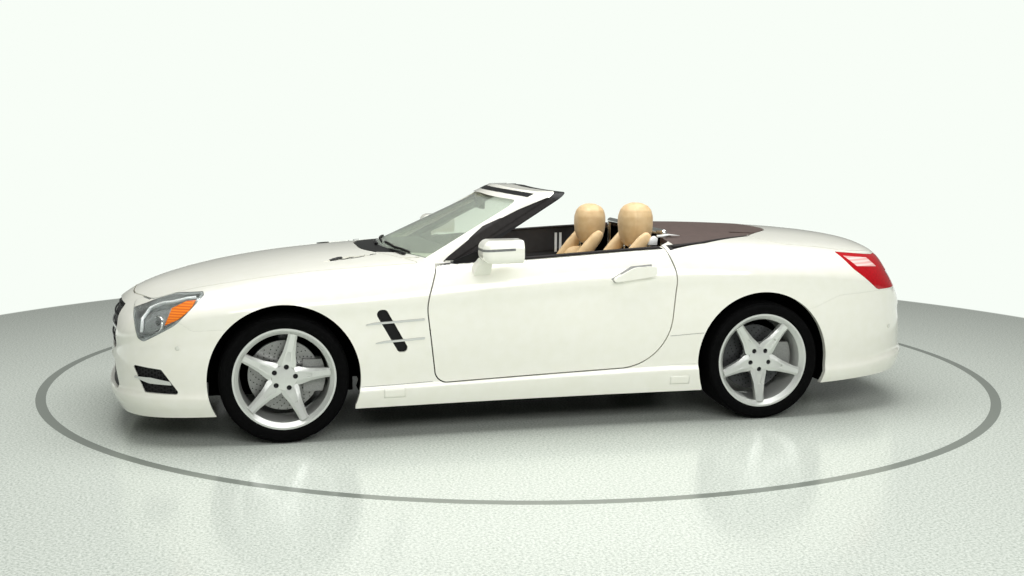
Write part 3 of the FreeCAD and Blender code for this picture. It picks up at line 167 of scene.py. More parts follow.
# Fittings sprayed apart from the body, such as sensor caps, come out a shade greyer and duller.
bumper_grey = material("painted_sensor_cap", "DCDDD2", (10.0, "D4D5CA", "E2E3D8"), Roughness=0.4,
                       Coat_Weight=0.6)
# Rolled sheet, painted and stove-dried: an even white with a broad, soft shine.
plate_white = material("painted_aluminium_sheet", "E8E9E6", (40.0, "E6E7E4", "EAEBE8"), Roughness=0.35)

# %% [markdown]
# ## Glass
# The windscreen is two panes of faintly green float glass with a film between. It is thin, so light goes
# nearly straight through it: an index just over 1 keeps what is behind it in place, and a coat gives the
# sharp reflection of its outer face. The same is true of the clear covers of the lamps. A door mirror is
# glass with silver behind, so the eye sees only the silver.

# %% Windscreen, lamp covers and mirror glass
screen_glass = material("laminated_green_glass", "D8E0D3", Roughness=0.0, IOR=1.1, Transmission_Weight=0.84,
                        Coat_Weight=0.6, Coat_Roughness=0.01)
lamp_clear = material("moulded_clear_polycarbonate", "F2F4F4", Roughness=0.02, IOR=1.12,
                      Transmission_Weight=1.0, Coat_Weight=0.8, Coat_Roughness=0.02)
mirror_glass = material("silvered_mirror_glass", "DCE2E0", (60.0, "D8DEDC", "E0E6E4"), Metallic=1.0,
                        Roughness=0.02)

# %% [markdown]
# ## Rubber and coatings
# Rubber is filled with carbon black. It swallows nearly all light and what comes back is dull and broad. A
# new tyre is the darkest; extruded seals are a little browner and smoother. The underside is sprayed with a
# stone guard of bitumen and wax, black and pebbly.

# %% Tyres, seals and stone guard
tyre_rubber = material("moulded_tyre_rubber", "060607", relief=(1.5, 0.1, 0.4), Roughness=0.8,
                       Specular_IOR_Level=0.06)
# The dusty, paler blobs cover less of a tyre than the even halves that tones would give.
coloured(tyre_rubber, noise(tyre_rubber.node_tree, 25.0), (0.35, "050505"), (0.75, "0A0A0B"))
black_rubber = material("extruded_epdm_rubber", "1F1C1B", (25.0, "1B1817", "242120"), (2.0, 0.06, 0.4),
                        Roughness=0.6, Specular_IOR_Level=0.2)
underbody = material("stone_guard_coating", "060606", (30.0, "040404", "090909"), (4.0, 0.4, 0.5),
                     Roughness=0.9, Specular_IOR_Level=0.05)

# %% [markdown]
# ## Metals
# The wheels are cast aluminium under silver lacquer: pale, with a soft shine that shows each spoke's bend.
# The brake discs are grey iron, freshly turned at the front and darker at the rear; their
# calipers are painted a dull silver grey. Steel under the car is zinc coated and middling grey, and the
# wheel bolts are dipped black in phosphate. Chrome on moulded trim is bright and nearly sharp, and a lamp's
# bowl is a thin, uneven coat of aluminium. Metallic is below 1 where lacquer, paint or oxide covers the
# metal.

# %% Silver wheels, iron, steel and chrome
wheel_silver = material("silver_lacquered_cast_aluminium", "D9DBD6", (0.8, "D2D4CF", "DFE1DC"), Metallic=0.55,
                        Roughness=0.3, Coat_Weight=0.6, Coat_Roughness=0.08)
disc_iron = material("turned_grey_cast_iron", "9A9A98", (3.0, "8C8C8A", "A6A6A4"), Metallic=0.9,
                     Roughness=0.35)
# The rear discs are a darker grey than the front ones.
dark_iron = material("weathered_cast_iron", "4A4B4C", (3.0, "404142", "545556"), Metallic=0.8, Roughness=0.45)
caliper_grey = material("painted_cast_aluminium", "8E8F8C", (5.0, "838481", "999A97"), Metallic=0.4,
                        Roughness=0.45)
chassis_steel = material("zinc_coated_steel", "6B6C6E", (12.0, "5E5F61", "76777A"), Metallic=0.8,
                         Roughness=0.45)
steel_black = material("zinc_phosphate_steel", "1B1B1C", (6.0, "151516", "222224"), Metallic=0.6,
                       Roughness=0.4)
chrome = material("chrome_plated_abs", "E4E4E2", (50.0, "E0E0DE", "E8E8E6"), Metallic=1.0, Roughness=0.08)
lamp_silver = material("aluminised_lamp_bowl", "8F9291", (30.0, "858887", "999C9B"), Metallic=0.5,
                       Roughness=0.35)

# %% [markdown]
# ## Moulded plastics
# Most trim is ABS. A fine grain takes the shine off the black kind, the polished kind mirrors like a piano
# lid, and the deck over the stowed roof is a dark brown with a coarse grain that reads as leathercloth.
# Tail lamp covers are dyed acrylic, a deep clear red that looks solid from outside.

# %% Black, brown and red plastics
black_plastic = material("moulded_black_abs", "0B0B0C", (20.0, "090909", "0F0F10"), (0.9, 0.05, 0.4),
                         Roughness=0.42, Specular_IOR_Level=0.22)
gloss_black = material("piano_black_abs", "060607", (40.0, "050506", "09090A"), Roughness=0.08,
                       Coat_Weight=0.8)
brown_deck = material("grained_brown_abs", "4A3A34", (35.0, "453630", "51403A"), (1.4, 0.12, 0.5),
                      Roughness=0.5)
lamp_red = material("moulded_red_pmma", "B00012", (12.0, "A60010", "BC0216"), Roughness=0.2,
                    Specular_IOR_Level=0.3, Coat_Weight=0.15, Coat_Roughness=0.05)

# %% [markdown]
# The grille is closed by a pierced sheet. Its holes are cells of a Voronoi pattern without any randomness,
# which is a square net, turned by 45 degrees so that it stands on its corners as the real one does. The
# holes are 15 mm apart; the bars between them are a dark grey over a black behind.

# %% Pierced mesh of the grille
MESH_STEP_MM = 15
black_mesh = material("pierced_black_mesh", "0A0A0B", Roughness=0.5, Specular_IOR_Level=0.15)
tree = black_mesh.node_tree
on_corner = add(tree, "ShaderNodeMapping", Vector=add(tree, "ShaderNodeTexCoord").outputs["Object"],
                Rotation=(radians(45), 0, 0))
holes = add(tree, "ShaderNodeTexVoronoi", {"feature": "DISTANCE_TO_EDGE"}, Vector=on_corner.outputs[0],
            Scale=1 / (MESH_STEP_MM * MM), Randomness=0.0).outputs["Distance"]
coloured(black_mesh, holes, (0.10, "242425"), (0.16, "020202"))
raised(black_mesh, holes, -4.0, 0.6)

# %% [markdown]
# ## Leather
# The seats are tan nappa and the dashboard is black nappa. The eye sees a soft, broad shine and fine pores.
# Real pores are about half a millimetre apart; they are drawn at 1.6 mm, because finer ones wouldn't show.

# %% Tan and black nappa
PORE_MM = 1.6


def leather(name, colour, tones, **values):
    made = material(name, colour, tones, **values)
    tree = made.node_tree
    pores = add(tree, "ShaderNodeTexVoronoi", {"feature": "DISTANCE_TO_EDGE"}, Scale=1 / (PORE_MM * MM),
                Vector=add(tree, "ShaderNodeTexCoord").outputs["Object"])
    raised(made, pores.outputs["Distance"], 0.15, 0.35)
    return made


tan_leather = leather("tan_nappa_leather", "D8B887", (45.0, "D2B07E", "DDBF90"), Roughness=0.48,
                      Sheen_Weight=0.1)
dark_leather = leather("black_nappa_leather", "1A1A1C", (45.0, "161618", "202022"), Roughness=0.5)

# %% [markdown]
# ## Each CAD node gets its finish
# The table lists the nodes by finish, without left or right. Whatever it doesn't name is a painted panel.

# %% Which finish each CAD node gets
FINISHES = [
    (underbody, ("front_frame", "cabin_tub", "boot_tub", "engine")),
    (black_mesh, ("grille",)),
    (black_plastic, ("cowl", "wing_vents", "screen_seal")),
    (screen_glass, ("windscreen",)),
    (lamp_clear, ("headlamp_lenses",)),
    (lamp_silver, ("headlamps",)),
    (lamp_red, ("tail_lamps",)),
    (tan_leather, ("seat_cushions", "seat_backs", "headrests")),
    (dark_leather, ("dashboard", "centre_console", "steering_wheel", "steering_column")),
    (brown_deck, ("rear_deck",)),
    (tyre_rubber, ("front_tyre", "rear_tyre")),
    (wheel_silver, ("front_rim", "rear_rim")),
    (disc_iron, ("front_disc",)),
    (dark_iron, ("rear_disc",)),
    (chassis_steel, ("knuckle", "front_axle", "rear_axle", "exhaust")),
    (chrome, ("roll_bars", "intake_blades")),
]
for name, node in nodes.items():
    plain = name.replace("left_", "").replace("right_", "")
    finish = next((m for m, names in FINISHES if plain in names), white_paint)
    node.data.materials.clear()
    node.data.materials.append(finish)
print("nodes with a finish:", len(nodes))

# %% [markdown]
# One CAD node can wear two finishes: a door is painted outside and trimmed in black inside, a brake caliper
# is part of its knuckle, the steering wheel's spokes are silver inside a leather rim, and bright fins lie
# in the black wing vents. A short test on each face's middle point and direction, in millimetres, picks the
# faces that take the second finish.

# %% Second finishes on some faces
def second_finish(name, finish, test):
    mesh = nodes[name].data
    mesh.materials.append(finish)
    picked = [p for p in mesh.polygons if test(*(p.center / MM), *p.normal)]
    for p in picked:
        p.material_index = len(mesh.materials) - 1
    print(f"{name}: {len(picked)} faces in {finish.name}")


def on_caliper(x, z, axle):
    """Behind the hub and farther from it than the disc's inner part."""
    hub_x, hub_z = HUBS[axle]
    return x - hub_x > 90 and hypot(x - hub_x, z - hub_z) > 125


for name, side in SIDES:
    # Trim: what looks into the cabin, and what lies inboard of the belt line.
    second_finish(name + "_door", dark_leather, lambda x, y, z, nx, ny, nz: (
        ny * side < -0.35 and -520 < x < 700) or (abs(y) < 806 and z < 900))
    # The mirror's foot on the door.
    second_finish(name + "_mirror", black_plastic, lambda x, y, z, *normal: abs(y) < 797)
    second_finish(name + "_knuckle", caliper_grey, lambda x, y, z, *normal: on_caliper(x, z, "front"))
second_finish("rear_axle", caliper_grey, lambda x, y, z, *normal: on_caliper(x, z, "rear") and abs(y) > 700)
TIPS_FROM = 2190                      # the exhaust's bright ends begin here
second_finish("exhaust", chrome, lambda x, y, z, *normal: x > TIPS_FROM)

# %% Silver spokes and bright vent fins
WHEEL_AT, WHEEL_TILT = Vector((-196.5, -385.0, 770.0)), radians(24)
WHEEL_AXIS = Vector((-cos(WHEEL_TILT), 0, -sin(WHEEL_TILT)))
SPOKES_FROM, SPOKES_TO = 62, 158      # distance from the steering wheel's axis, mm
FINS = ((590, 616), (494, 520))       # lower and upper edge of the two fins in each wing vent, mm


def on_spokes(*face):
    out = Vector(face[:3]) - WHEEL_AT
    return SPOKES_FROM < (out - WHEEL_AXIS * out.dot(WHEEL_AXIS)).length < SPOKES_TO


def on_a_fin(mesh, polygon):
    """All corners of the face lie in the height of one fin."""
    heights = [mesh.vertices[v].co.z / MM for v in polygon.vertices]
    return any(min(heights) > low - 1 and max(heights) < high + 1 for low, high in FINS)


second_finish("steering_wheel", wheel_silver, on_spokes)
vents = nodes["wing_vents"].data
vents.materials.append(wheel_silver)
for polygon in vents.polygons:
    polygon.material_index = int(on_a_fin(vents, polygon))
print("bright fin faces:", sum(p.material_index for p in vents.polygons))

# %% [markdown]
# ## Making small parts
# Trim is too fine for the CAD model. Four makers build all of it: one cuts a piece to an outline and lays
# it on a panel, one carries a section along a path, one turns a profile on an axis, and one wraps a mesh up
# as a named piece that rides on its body. Their numbers are millimetres.

# %% A mesh becomes a named piece
def piece(name, bm, finish, body="body", smooth=True):
    bmesh.ops.recalc_face_normals(bm, faces=bm.faces)
    bmesh.ops.scale(bm, vec=(MM, MM, MM), verts=bm.verts)
    for face in bm.faces:
        face.smooth = smooth
    mesh = bpy.data.meshes.new(name)
    bm.to_mesh(mesh)
    bm.free()
    mesh.materials.append(finish)
    made = bpy.data.objects.new(name, mesh)
    bpy.context.scene.collection.objects.link(made)
    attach(made, body)
    return made


def piece_count(part_of_name=""):
    return len([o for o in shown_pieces() if part_of_name in o.name])


# %% [markdown]
# A strip of trim follows the panel that it lies on. Instead of bending each strip by hand, a ray is sent from
# outside towards the panel and the strip takes the place where it lands. A search tree makes that quick.

# %% Surfaces to lay pieces on
def surface(*names):
    """A search tree over some CAD nodes."""
    points, faces = [], []
    for name in names:
        start = len(points)
        points += [v.co for v in nodes[name].data.vertices]
        faces += [[start + i for i in p.vertices] for p in nodes[name].data.polygons]
    return BVHTree.FromPolygons(points, faces)


# Seen from: first and second axis of an outline, axis of sight, where the sight starts in metres and its
# direction.
VIEWS = {"left": (0, 2, 1, -2.5, 1), "right": (0, 2, 1, 2.5, -1), "front": (1, 2, 0, -4.0, 1),
         "rear": (1, 2, 0, 4.0, -1), "top": (0, 1, 2, 3.0, -1)}


def on_surface(tree, seen_from, u, v, lift=0.0):
    """The first point of a surface met at (u, v), raised by lift along its normal; None beside it."""
    first, second, sight, start, sign = VIEWS[seen_from]
    origin, ray = Vector((0, 0, 0)), Vector((0, 0, 0))
    origin[first], origin[second], origin[sight], ray[sight] = u * MM, v * MM, start, sign
    hit, normal, _, _ = tree.ray_cast(origin, ray)
    if hit is None:
        return None
    return hit / MM + (normal if normal.dot(ray) < 0 else -normal) * lift


def edge_path(tree, seen_from, points, lift, step=30):
    """Points between the given ones, a step apart, found on a surface."""
    path = []
    for (u0, v0), (u1, v1) in zip(points, points[1:]):
        count = max(1, round(hypot(u1 - u0, v1 - v0) / step))
        path += [on_surface(tree, seen_from, u0 + (u1 - u0) * k / count, v0 + (v1 - v0) * k / count, lift)
                 for k in range(count)]
    path.append(on_surface(tree, seen_from, *points[-1], lift))
    return [p for p in path if p]


print("the skin is searched in", len(VIEWS), "directions")

# %% [markdown]
# Many outlines are circles or oblongs, so each of them gets a short name. A laid piece starts as a flat net
# of squares, is cut along each side of its outline, and is then dropped onto the panel. The outline has to
# be convex, because each cut takes off everything beyond that side.

# %% A piece cut to a convex outline and laid on a surface
def oblong(low_u, high_u, low_v, high_v):
    return [(low_u, low_v), (high_u, low_v), (high_u, high_v), (low_u, high_v)]


def circle(radius, points=10, flat=1.0):
    return [(radius * cos(2 * pi * k / points), flat * radius * sin(2 * pi * k / points))
            for k in range(points)]


def cut_net(outline, step):
    """A flat net of squares about one step wide, cut along the outline."""
    bm = bmesh.new()
    low = [min(p[i] for p in outline) for i in (0, 1)]
    size = [max(p[i] for p in outline) - low[i] for i in (0, 1)]
    count = [ceil(s / step) for s in size]
    rows = [[bm.verts.new((low[0] + size[0] * i / count[0], low[1] + size[1] * j / count[1], 0))
             for i in range(count[0] + 1)] for j in range(count[1] + 1)]
    for a, b in zip(rows, rows[1:]):
        for i in range(count[0]):
            bm.faces.new((a[i], a[i + 1], b[i + 1], b[i]))
    around = list(zip(outline, outline[1:] + outline[:1]))
    turn = 1 if sum(p[0] * q[1] - q[0] * p[1] for p, q in around) > 0 else -1
    for p, q in around:
        bmesh.ops.bisect_plane(bm, geom=bm.verts[:] + bm.edges[:] + bm.faces[:], plane_co=(*p, 0),
                               plane_no=(turn * (q[1] - p[1]), turn * (p[0] - q[0]), 0), clear_outer=True)
    return bm


def laid(name, outline, tree, seen_from, finish, body="body", lift=0.4, thick=0.0, step=8.0):
    bm = cut_net(outline, step)
    lost = []
    for vert in bm.verts:
        place = on_surface(tree, seen_from, vert.co.x, vert.co.y, lift)
        if place is None:
            lost.append(vert)
        else:
            vert.co = place
    bmesh.ops.delete(bm, geom=lost, context="VERTS")
    if thick:
        bmesh.ops.recalc_face_normals(bm, faces=bm.faces)
        bmesh.ops.solidify(bm, geom=bm.faces[:], thickness=thick)
    return piece(name, bm, finish, body)


# %% [markdown]
# Seals, bars and pipes keep one section all along. The section is carried from point to point, turned so
# that it stays square to the run, and may shrink towards the ends.

# %% A section carried along a path
def swept(name, path, section, finish, body="body", up=(0, 0, 1), closed=False, sizes=None):
    bm = bmesh.new()
    n, m = len(path), len(section)
    rings = []
    for i, place in enumerate(path):
        before = path[i - 1] if i or closed else path[0]
        after = path[(i + 1) % n] if i < n - 1 or closed else path[-1]
        run = (Vector(after) - Vector(before)).normalized()
        side = run.cross(Vector(up)).normalized()
        rise = side.cross(run)
        size = sizes[i] if sizes else 1.0
        rings.append([bm.verts.new(Vector(place) + (side * a + rise * b) * size) for a, b in section])
    for i in range(n if closed else n - 1):
        here, there = rings[i], rings[(i + 1) % n]
        for j in range(m):
            bm.faces.new((here[j], here[(j + 1) % m], there[(j + 1) % m], there[j]))
    if not closed:
        bm.faces.new(rings[0])
        bm.faces.new(rings[-1])
    return piece(name, bm, finish, body)


# %% [markdown]
# Round parts come from a profile, as on a lathe: each row says how far along the axis and how far from it. No
# row goes quite to the axis, because points that fall together would make faces without any area.

# %% A profile turned on an axis
LEAST_RADIUS = 0.05


def turned(bm, profile, centre, axis, steps=48, ring=False):
    """Turns a profile round its axis. A ring's last row meets its first; other parts get closed ends."""
    axis = Vector(axis).normalized()
    side = axis.orthogonal().normalized()
    rise = axis.cross(side)
    rings = []
    for along, radius in profile:
        middle = Vector(centre) + axis * along
        rings.append([bm.verts.new(middle + (side * cos(t) + rise * sin(t)) * max(radius, LEAST_RADIUS))
                      for t in (2 * pi * k / steps for k in range(steps))])
    for a, b in zip(rings, rings[1:] + rings[:1] if ring else rings[1:]):
        for k in range(steps):
            bm.faces.new((a[k], a[(k + 1) % steps], b[(k + 1) % steps], b[k]))
    if not ring:
        bm.faces.new(rings[0])
        bm.faces.new(rings[-1])


def turned_piece(name, profile, centre, axis, finish, steps=48):
    bm = bmesh.new()
    turned(bm, profile, centre, axis, steps)
    return piece(name, bm, finish)


# %% [markdown]
# ## Lamps
# A lamp on a car is a clear cover over small bowls, reflectors and light strips. The clear cover and the bowl
# behind it come with the CAD model, so only what shines inside is added. The markers are dyed acrylic moulded
# with fine ribs, 12 mm apart at the front and 18 mm at the tail, which Blender's wave pattern draws as bands.
# Smoked covers are a dull grey, and a light strip is frosted to an even white.

# %% Orange, grey and light-strip finishes
def ribbed(made, spacing_mm, *stops):
    """Bands one above the other; the wave pattern repeats each tenth of pi at a scale of 1."""
    tree = made.node_tree
    bands = add(tree, "ShaderNodeTexWave", {"bands_direction": "Z"}, Scale=pi / 10 / (spacing_mm * MM),
                Vector=add(tree, "ShaderNodeTexCoord").outputs["Object"])
    coloured(made, bands.outputs["Fac"], *stops)


lamp_orange = material("moulded_amber_pmma", "E0701A", Roughness=0.15, Coat_Weight=0.8, Coat_Roughness=0.03)
ribbed(lamp_orange, 11.875, (0.2, "D2621A"), (0.8, "F0861E"))
lamp_pink = material("frosted_pale_red_pmma", "E8A6A4", Roughness=0.15, Coat_Weight=0.8, Coat_Roughness=0.03)
ribbed(lamp_pink, 17.813, (0.2, "EDB4AE"), (0.8, "F6DCD6"))
lamp_grey = material("smoked_grey_polycarbonate", "6E706F", (18.0, "626463", "7A7C7B"), Roughness=0.28,
                     Coat_Weight=0.5)
lamp_white = material("frosted_light_strip_pmma", "EDEFEE", (14.0, "E6E8E7", "F3F4F3"), Roughness=0.3,
                      Coat_Weight=0.4)

# %% [markdown]
# Inside each headlamp sit an orange side marker, a dark surround, a light strip along the upper edge and a
# round lens in a chromed ring. Two white patches, the brows, lie over the cover's inner part, which is body
# colour on the real car, so that the lamp ends in a slanting line. Outlines are x and z, and those of the
# brows |y| and z.

# %% Inside the headlamps
MARKER = [(-1832, 730), (-1858, 689), (-1921, 640), (-1984, 612), (-1950, 690), (-1880, 724)]
SURROUND = [(-1948, 697), (-1996, 606), (-2056, 566), (-2090, 578), (-2084, 622), (-2042, 668)]
LIGHT_STRIP = [(-2106, 572), (-2102, 636), (-2062, 684), (-2001, 708), (-1945, 720), (-1880, 738),
               (-1836, 744)]
BROWS = [[(300, 610), (492, 610), (497, 641), (497, 735), (300, 735)],
         [(497, 641), (574, 692), (600, 735), (497, 735)]]
LENS_AT, LENS_DEEP = (-2030, 622), -22.0      # x and z of the round lens, and its depth behind the cover
LENS_RING = [(-16, 44), (4, 44), (7, 41), (3, 37), (-16, 33)]
PROJECTOR = [(-14, 33), (-2, 33), (6, 26), (11, 16), (13, 4)]
lens = surface("headlamp_lenses")
for side_name, side in SIDES:
    laid(side_name + "_side_marker", MARKER, lens, side_name, lamp_orange, lift=0.4, step=6.0)
    laid(side_name + "_lamp_surround", SURROUND, lens, side_name, lamp_grey, lift=-12.0, thick=-3.0, step=6.0)
    path = [on_surface(lens, side_name, x, z, -10.0) for x, z in LIGHT_STRIP]
    swept(side_name + "_light_strip", [p for p in path if p], circle(9.0), lamp_white)
    for k, brow in enumerate(BROWS):
        laid(f"{side_name}_lamp_brow_{k}", [(side * y, z) for y, z in brow], lens, "front", white_paint,
             lift=0.6, step=6.0)
    centre = on_surface(lens, side_name, *LENS_AT, LENS_DEEP)
    shines_along = (-0.80, side * 0.55, 0.22)
    turned_piece(side_name + "_lamp_ring", LENS_RING, centre, shines_along, chrome)
    turned_piece(side_name + "_projector", PROJECTOR, centre, shines_along, gloss_black)
print("headlamp pieces:", piece_count("lamp"))

# %% [markdown]
# The tail lamps are one red cover with two paler zones, the indicator and the reversing lamp. A third, narrow
# brake lamp lies across the edge of the boot lid.

# %% Zones of the tail lamps
INDICATOR = [(1712, 880), (1885, 862), (1940, 812), (1778, 824)]
tail = surface("tail_lamps")
for side_name, side in SIDES:
    laid(side_name + "_indicator", INDICATOR, tail, side_name, lamp_pink, lift=0.5, step=6.0)
    reversing = oblong(side * 590, side * 700, 735, 780)
    laid(side_name + "_reversing_lamp", reversing, tail, "rear", lamp_white, lift=0.5, step=6.0)
laid("high_brake_lamp", oblong(-150, 150, 905, 917), surface("boot_lid"), "rear", lamp_red, "boot_lid",
     lift=0.6, step=6.0)
print("reversing lamps:", piece_count("_reversing_lamp"))

# %% [markdown]
# ## Mirrors
# A mirror carries a strip of smoked plastic over its turn lamp, which goes round the corner of the housing,
# and a silvered glass in its rear recess. All are cut to their outline and laid on the housing, and they ride
# on the door, as the housing does.

# %% Mirror glass and turn lamps
TURN_LAMP = [(-432, 966), (-262, 972), (-262, 984), (-432, 978)]
for side_name, side in SIDES:
    housing = surface(side_name + "_mirror")
    door = side_name + "_door"
    laid(side_name + "_turn_lamp", TURN_LAMP, housing, side_name, lamp_grey, door, lift=0.8, step=6.0)
    laid(side_name + "_turn_lamp_front", oblong(side * 925, side * 1060, 966, 978), housing, "front",
         lamp_grey, door, lift=0.8, step=6.0)
    laid(side_name + "_mirror_glass", oblong(side * 896, side * 1074, 915, 1010), housing, "rear",
         mirror_glass, door, lift=1.5)
print("mirror pieces:", piece_count("_turn_lamp") + piece_count("_mirror_glass"))

# %% [markdown]
# ## Belt line and doors
# A dark rubber strip runs along the top of each door, where the window glass goes down, and on over the rear
# wing to the deck. It is one section carried along a path that is found on the body itself. Inside, each door
# has a leather card, an armrest and two bright bars at its rear end.

# %% Belt strips and door trim
BELT_SECTION = [(-24, -4), (24, -4), (21, 5), (-21, 5)]
DECK_SECTION = [(-18, -3), (18, -3), (15, 3), (-15, 3)]
BELT_LINE = ((-385, 800), (0, 806), (300, 803), (630, 797))         # x and |y|
DECK_LINE = ((676, 797), (880, 741), (1060, 640), (1235, 545))
DOOR_CARD = [(-300, 560), (420, 560), (440, 720), (-300, 720)]
ARMREST = ((-220, 640), (-100, 652), (100, 656), (260, 650), (360, 630))      # x and z
ARMREST_Y = 772
BRIGHT_BARS, BAR_WIDE, BAR_LOW, BAR_TOP = (452, 484), 17, 770, 900
for side_name, side in SIDES:
    door = side_name + "_door"
    panel = surface(door)
    belt = edge_path(panel, "top", [(x, side * y) for x, y in BELT_LINE], 1.0)
    swept(side_name + "_belt_strip", belt, BELT_SECTION, black_rubber, door)
    deck_edge = edge_path(surface("rear_wings", "rear_deck"), "top", [(x, side * y) for x, y in DECK_LINE],
                          1.0)
    swept(side_name + "_deck_seal", deck_edge, DECK_SECTION, black_rubber,
          sizes=[1.3 - 0.9 * k / (len(deck_edge) - 1) for k in range(len(deck_edge))])
    from_inside = "right" if side < 0 else "left"
    laid(side_name + "_door_card", DOOR_CARD, panel, from_inside, tan_leather, door, lift=1.0, thick=-3.0,
         step=16.0)
    for x in BRIGHT_BARS:
        laid(f"{side_name}_bright_bar_{x}", oblong(x, x + BAR_WIDE, BAR_LOW, BAR_TOP), panel, from_inside,
             plate_white, door, lift=1.5)
    rest = [Vector((x, side * ARMREST_Y, z)) for x, z in ARMREST]
    swept(side_name + "_armrest", rest, circle(21, 14, 0.8), dark_leather, door,
          sizes=[0.6, 0.95, 1.0, 0.95, 0.6])
print("door trim pieces:", piece_count("_door_card") + piece_count("_bright_bar") + piece_count("_armrest"))

# %% [markdown]
# ## Dark lines
# The pillar of the windscreen is white in front and black behind, where the door glass seals against it.
# The black half is a rubber laid on the pillar's outer side, lifted by 5 mm to clear the pillar's own edge.
# Shut lines that the CAD panels don't have are thin dark strips, and a grey patch laid behind each door
# handle is painted shade round its recess. Inside the front arches hang shields of stone-guarded sheet, which
# keep spray and light out; they stand clear of the tyres at full lock, and their black also stands in for the
# deep shade in the arches. A curtain of the same sheet hangs inboard of each front wheel; it is a dark sheet
# that stands in for the shade under the car.

# %% Pillar rubbers, shut lines and splash shields
PILLAR = [[(-596, 872), (-555, 911), (-350, 978), (-515, 860)],
          [(-555, 911), (-344, 1062), (-212, 1046), (-350, 978)],
          [(-344, 1062), (-145, 1151), (-68, 1110), (-212, 1046)],
          [(-145, 1151), (20, 1211), (78, 1203), (66, 1172), (-68, 1110)]]
DECK_CORNER = ((655, 838), (655, 770), (880, 730), (880, 756))      # x and |y|
HANDLE_SHADOW = [(301, 795), (416, 858), (532, 867), (542, 806), (318, 775)]
SHUT_LINES = [[(570, 476), (700, 484), (824, 491)], [(-1030, 277), (-860, 281), (-660, 288)]]
CURTAIN_X, CURTAIN_Y = (-1795, -1030), 466
SHIELD_Y = (610, 895)
SHIELD_Z = 250                        # middle height of the curtains and shields
SHIELD_X = (("front", -1811), ("rear", -1010))
pillar_side = surface("windscreen_frame", "screen_seal")
outer_skin = surface("front_wings", "rear_wings", "sills")
for side_name, side in SIDES:
    for k, outline in enumerate(PILLAR):
        laid(f"{side_name}_pillar_rubber_{k}", outline, pillar_side, side_name, black_rubber, lift=4.8,
             step=5.0)
    laid(side_name + "_deck_corner", [(x, side * y) for x, y in DECK_CORNER],
         surface("rear_wings", "rear_deck"), "top", black_rubber, lift=1.2, step=9.0)
    # A grey patch round the door handle: painted shade in its recess.
    laid(side_name + "_handle_shadow_ring", HANDLE_SHADOW, surface(side_name + "_door"), side_name,
         caliper_grey, side_name + "_door", lift=0.4, step=10.0)
    # The curtain is a dark sheet that stands in for the shade under the car.
    curtain = [(x, side * CURTAIN_Y, SHIELD_Z) for x in CURTAIN_X]
    swept(side_name + "_underbody_curtain", curtain, oblong(-2, 2, -86, 84), underbody)
    # The shields are partly arch liners and partly dark sheets that stand in for the shade in the arches.
    for end, x in SHIELD_X:
        shield = [Vector((x, side * y, SHIELD_Z)) for y in SHIELD_Y]
        swept(f"{side_name}_{end}_splash_shield", shield, oblong(-2, 2, -88, 92), underbody)
    for k, line in enumerate(SHUT_LINES):
        path = edge_path(outer_skin, side_name, line, 0.1)
        swept(f"{side_name}_shut_line_{k}", path, oblong(-1.2, 1.2, -0.6, 0.6), underbody)
print("dark lines and shields:", piece_count("_rubber") + piece_count("_shut_line") + piece_count("_shield"))

# %% [markdown]
# A black band crosses the windscreen's upper rail. The rail curves in plan, so the band is laid in ten short
# straight lengths. Each one's ends follow a parabola from the middle of the rail to its corners. The driver's
# belt comes out of a pale guide behind the seat.

# %% Band on the upper rail and the belt guide
RAIL_HALF, BAND_LENGTHS = 580, 10
BAND_STEP = 2 * RAIL_HALF // BAND_LENGTHS
BAND_FRONT, BAND_REAR = 72, 34        # how far the band's edges lie ahead of the parabola


def rail_x(y):
    """A parabola that follows the rail: x -120 in the middle and 125 mm farther back at 612 mm out."""
    return -120 + 125 * (y / 612) ** 2


rail = surface("windscreen_frame")
for k in range(BAND_LENGTHS):
    low_y = BAND_STEP * k - RAIL_HALF
    high_y = low_y + BAND_STEP
    band = [(rail_x(low_y) - BAND_FRONT, low_y), (rail_x(low_y) - BAND_REAR, low_y),
            (rail_x(high_y) - BAND_REAR, high_y), (rail_x(high_y) - BAND_FRONT, high_y)]
    laid(f"screen_band_{k}", band, rail, "top", black_plastic, lift=0.6, step=6.0)
guide = [(642, y, 966) for y in (-607, -603, -579, -575)]
swept("driver_belt_guide", guide, [(-32, -24), (24, -26), (28, 12), (12, 25), (-8, 18)], plate_white,
      sizes=[0.85, 1.0, 1.0, 0.85])
tongue = [(672, -590, 988), (740, -586, 996), (806, -580, 990)]
swept("driver_belt_tongue", tongue, [(-10, -3), (10, -3), (8, 5), (-8, 5)], plate_white,
      sizes=[1.5, 1.0, 0.3])
print("pieces so far:", piece_count())

# %% [markdown]
# ## Wheels
# The five spokes of each wheel are turned on their axle to where this car's stand: the CAD rim is copied,
# rotated and shown in its place. Then come five bolts, the holes drilled through the disc, and ribs round the
# tyre wall. One short table gives each axle's measures.

# %% A turned copy of the cast rim
# axle, wheel's middle y, disc face y, where the CAD rim's first spoke stands, where it should, half widths of
# the tyre and of its bead
AXLES = [("front", 799.5, 829.0, 4.0, 11.5, 128.5, 108.0),
         ("rear", 802.0, 832.0, 54.0, 36.5, 143.0, 120.5)]
SPOKES = 5


def around_hub(axle, radius, turn, y):
    hub_x, hub_z = HUBS[axle]
    return (hub_x + radius * sin(turn), y, hub_z + radius * cos(turn))


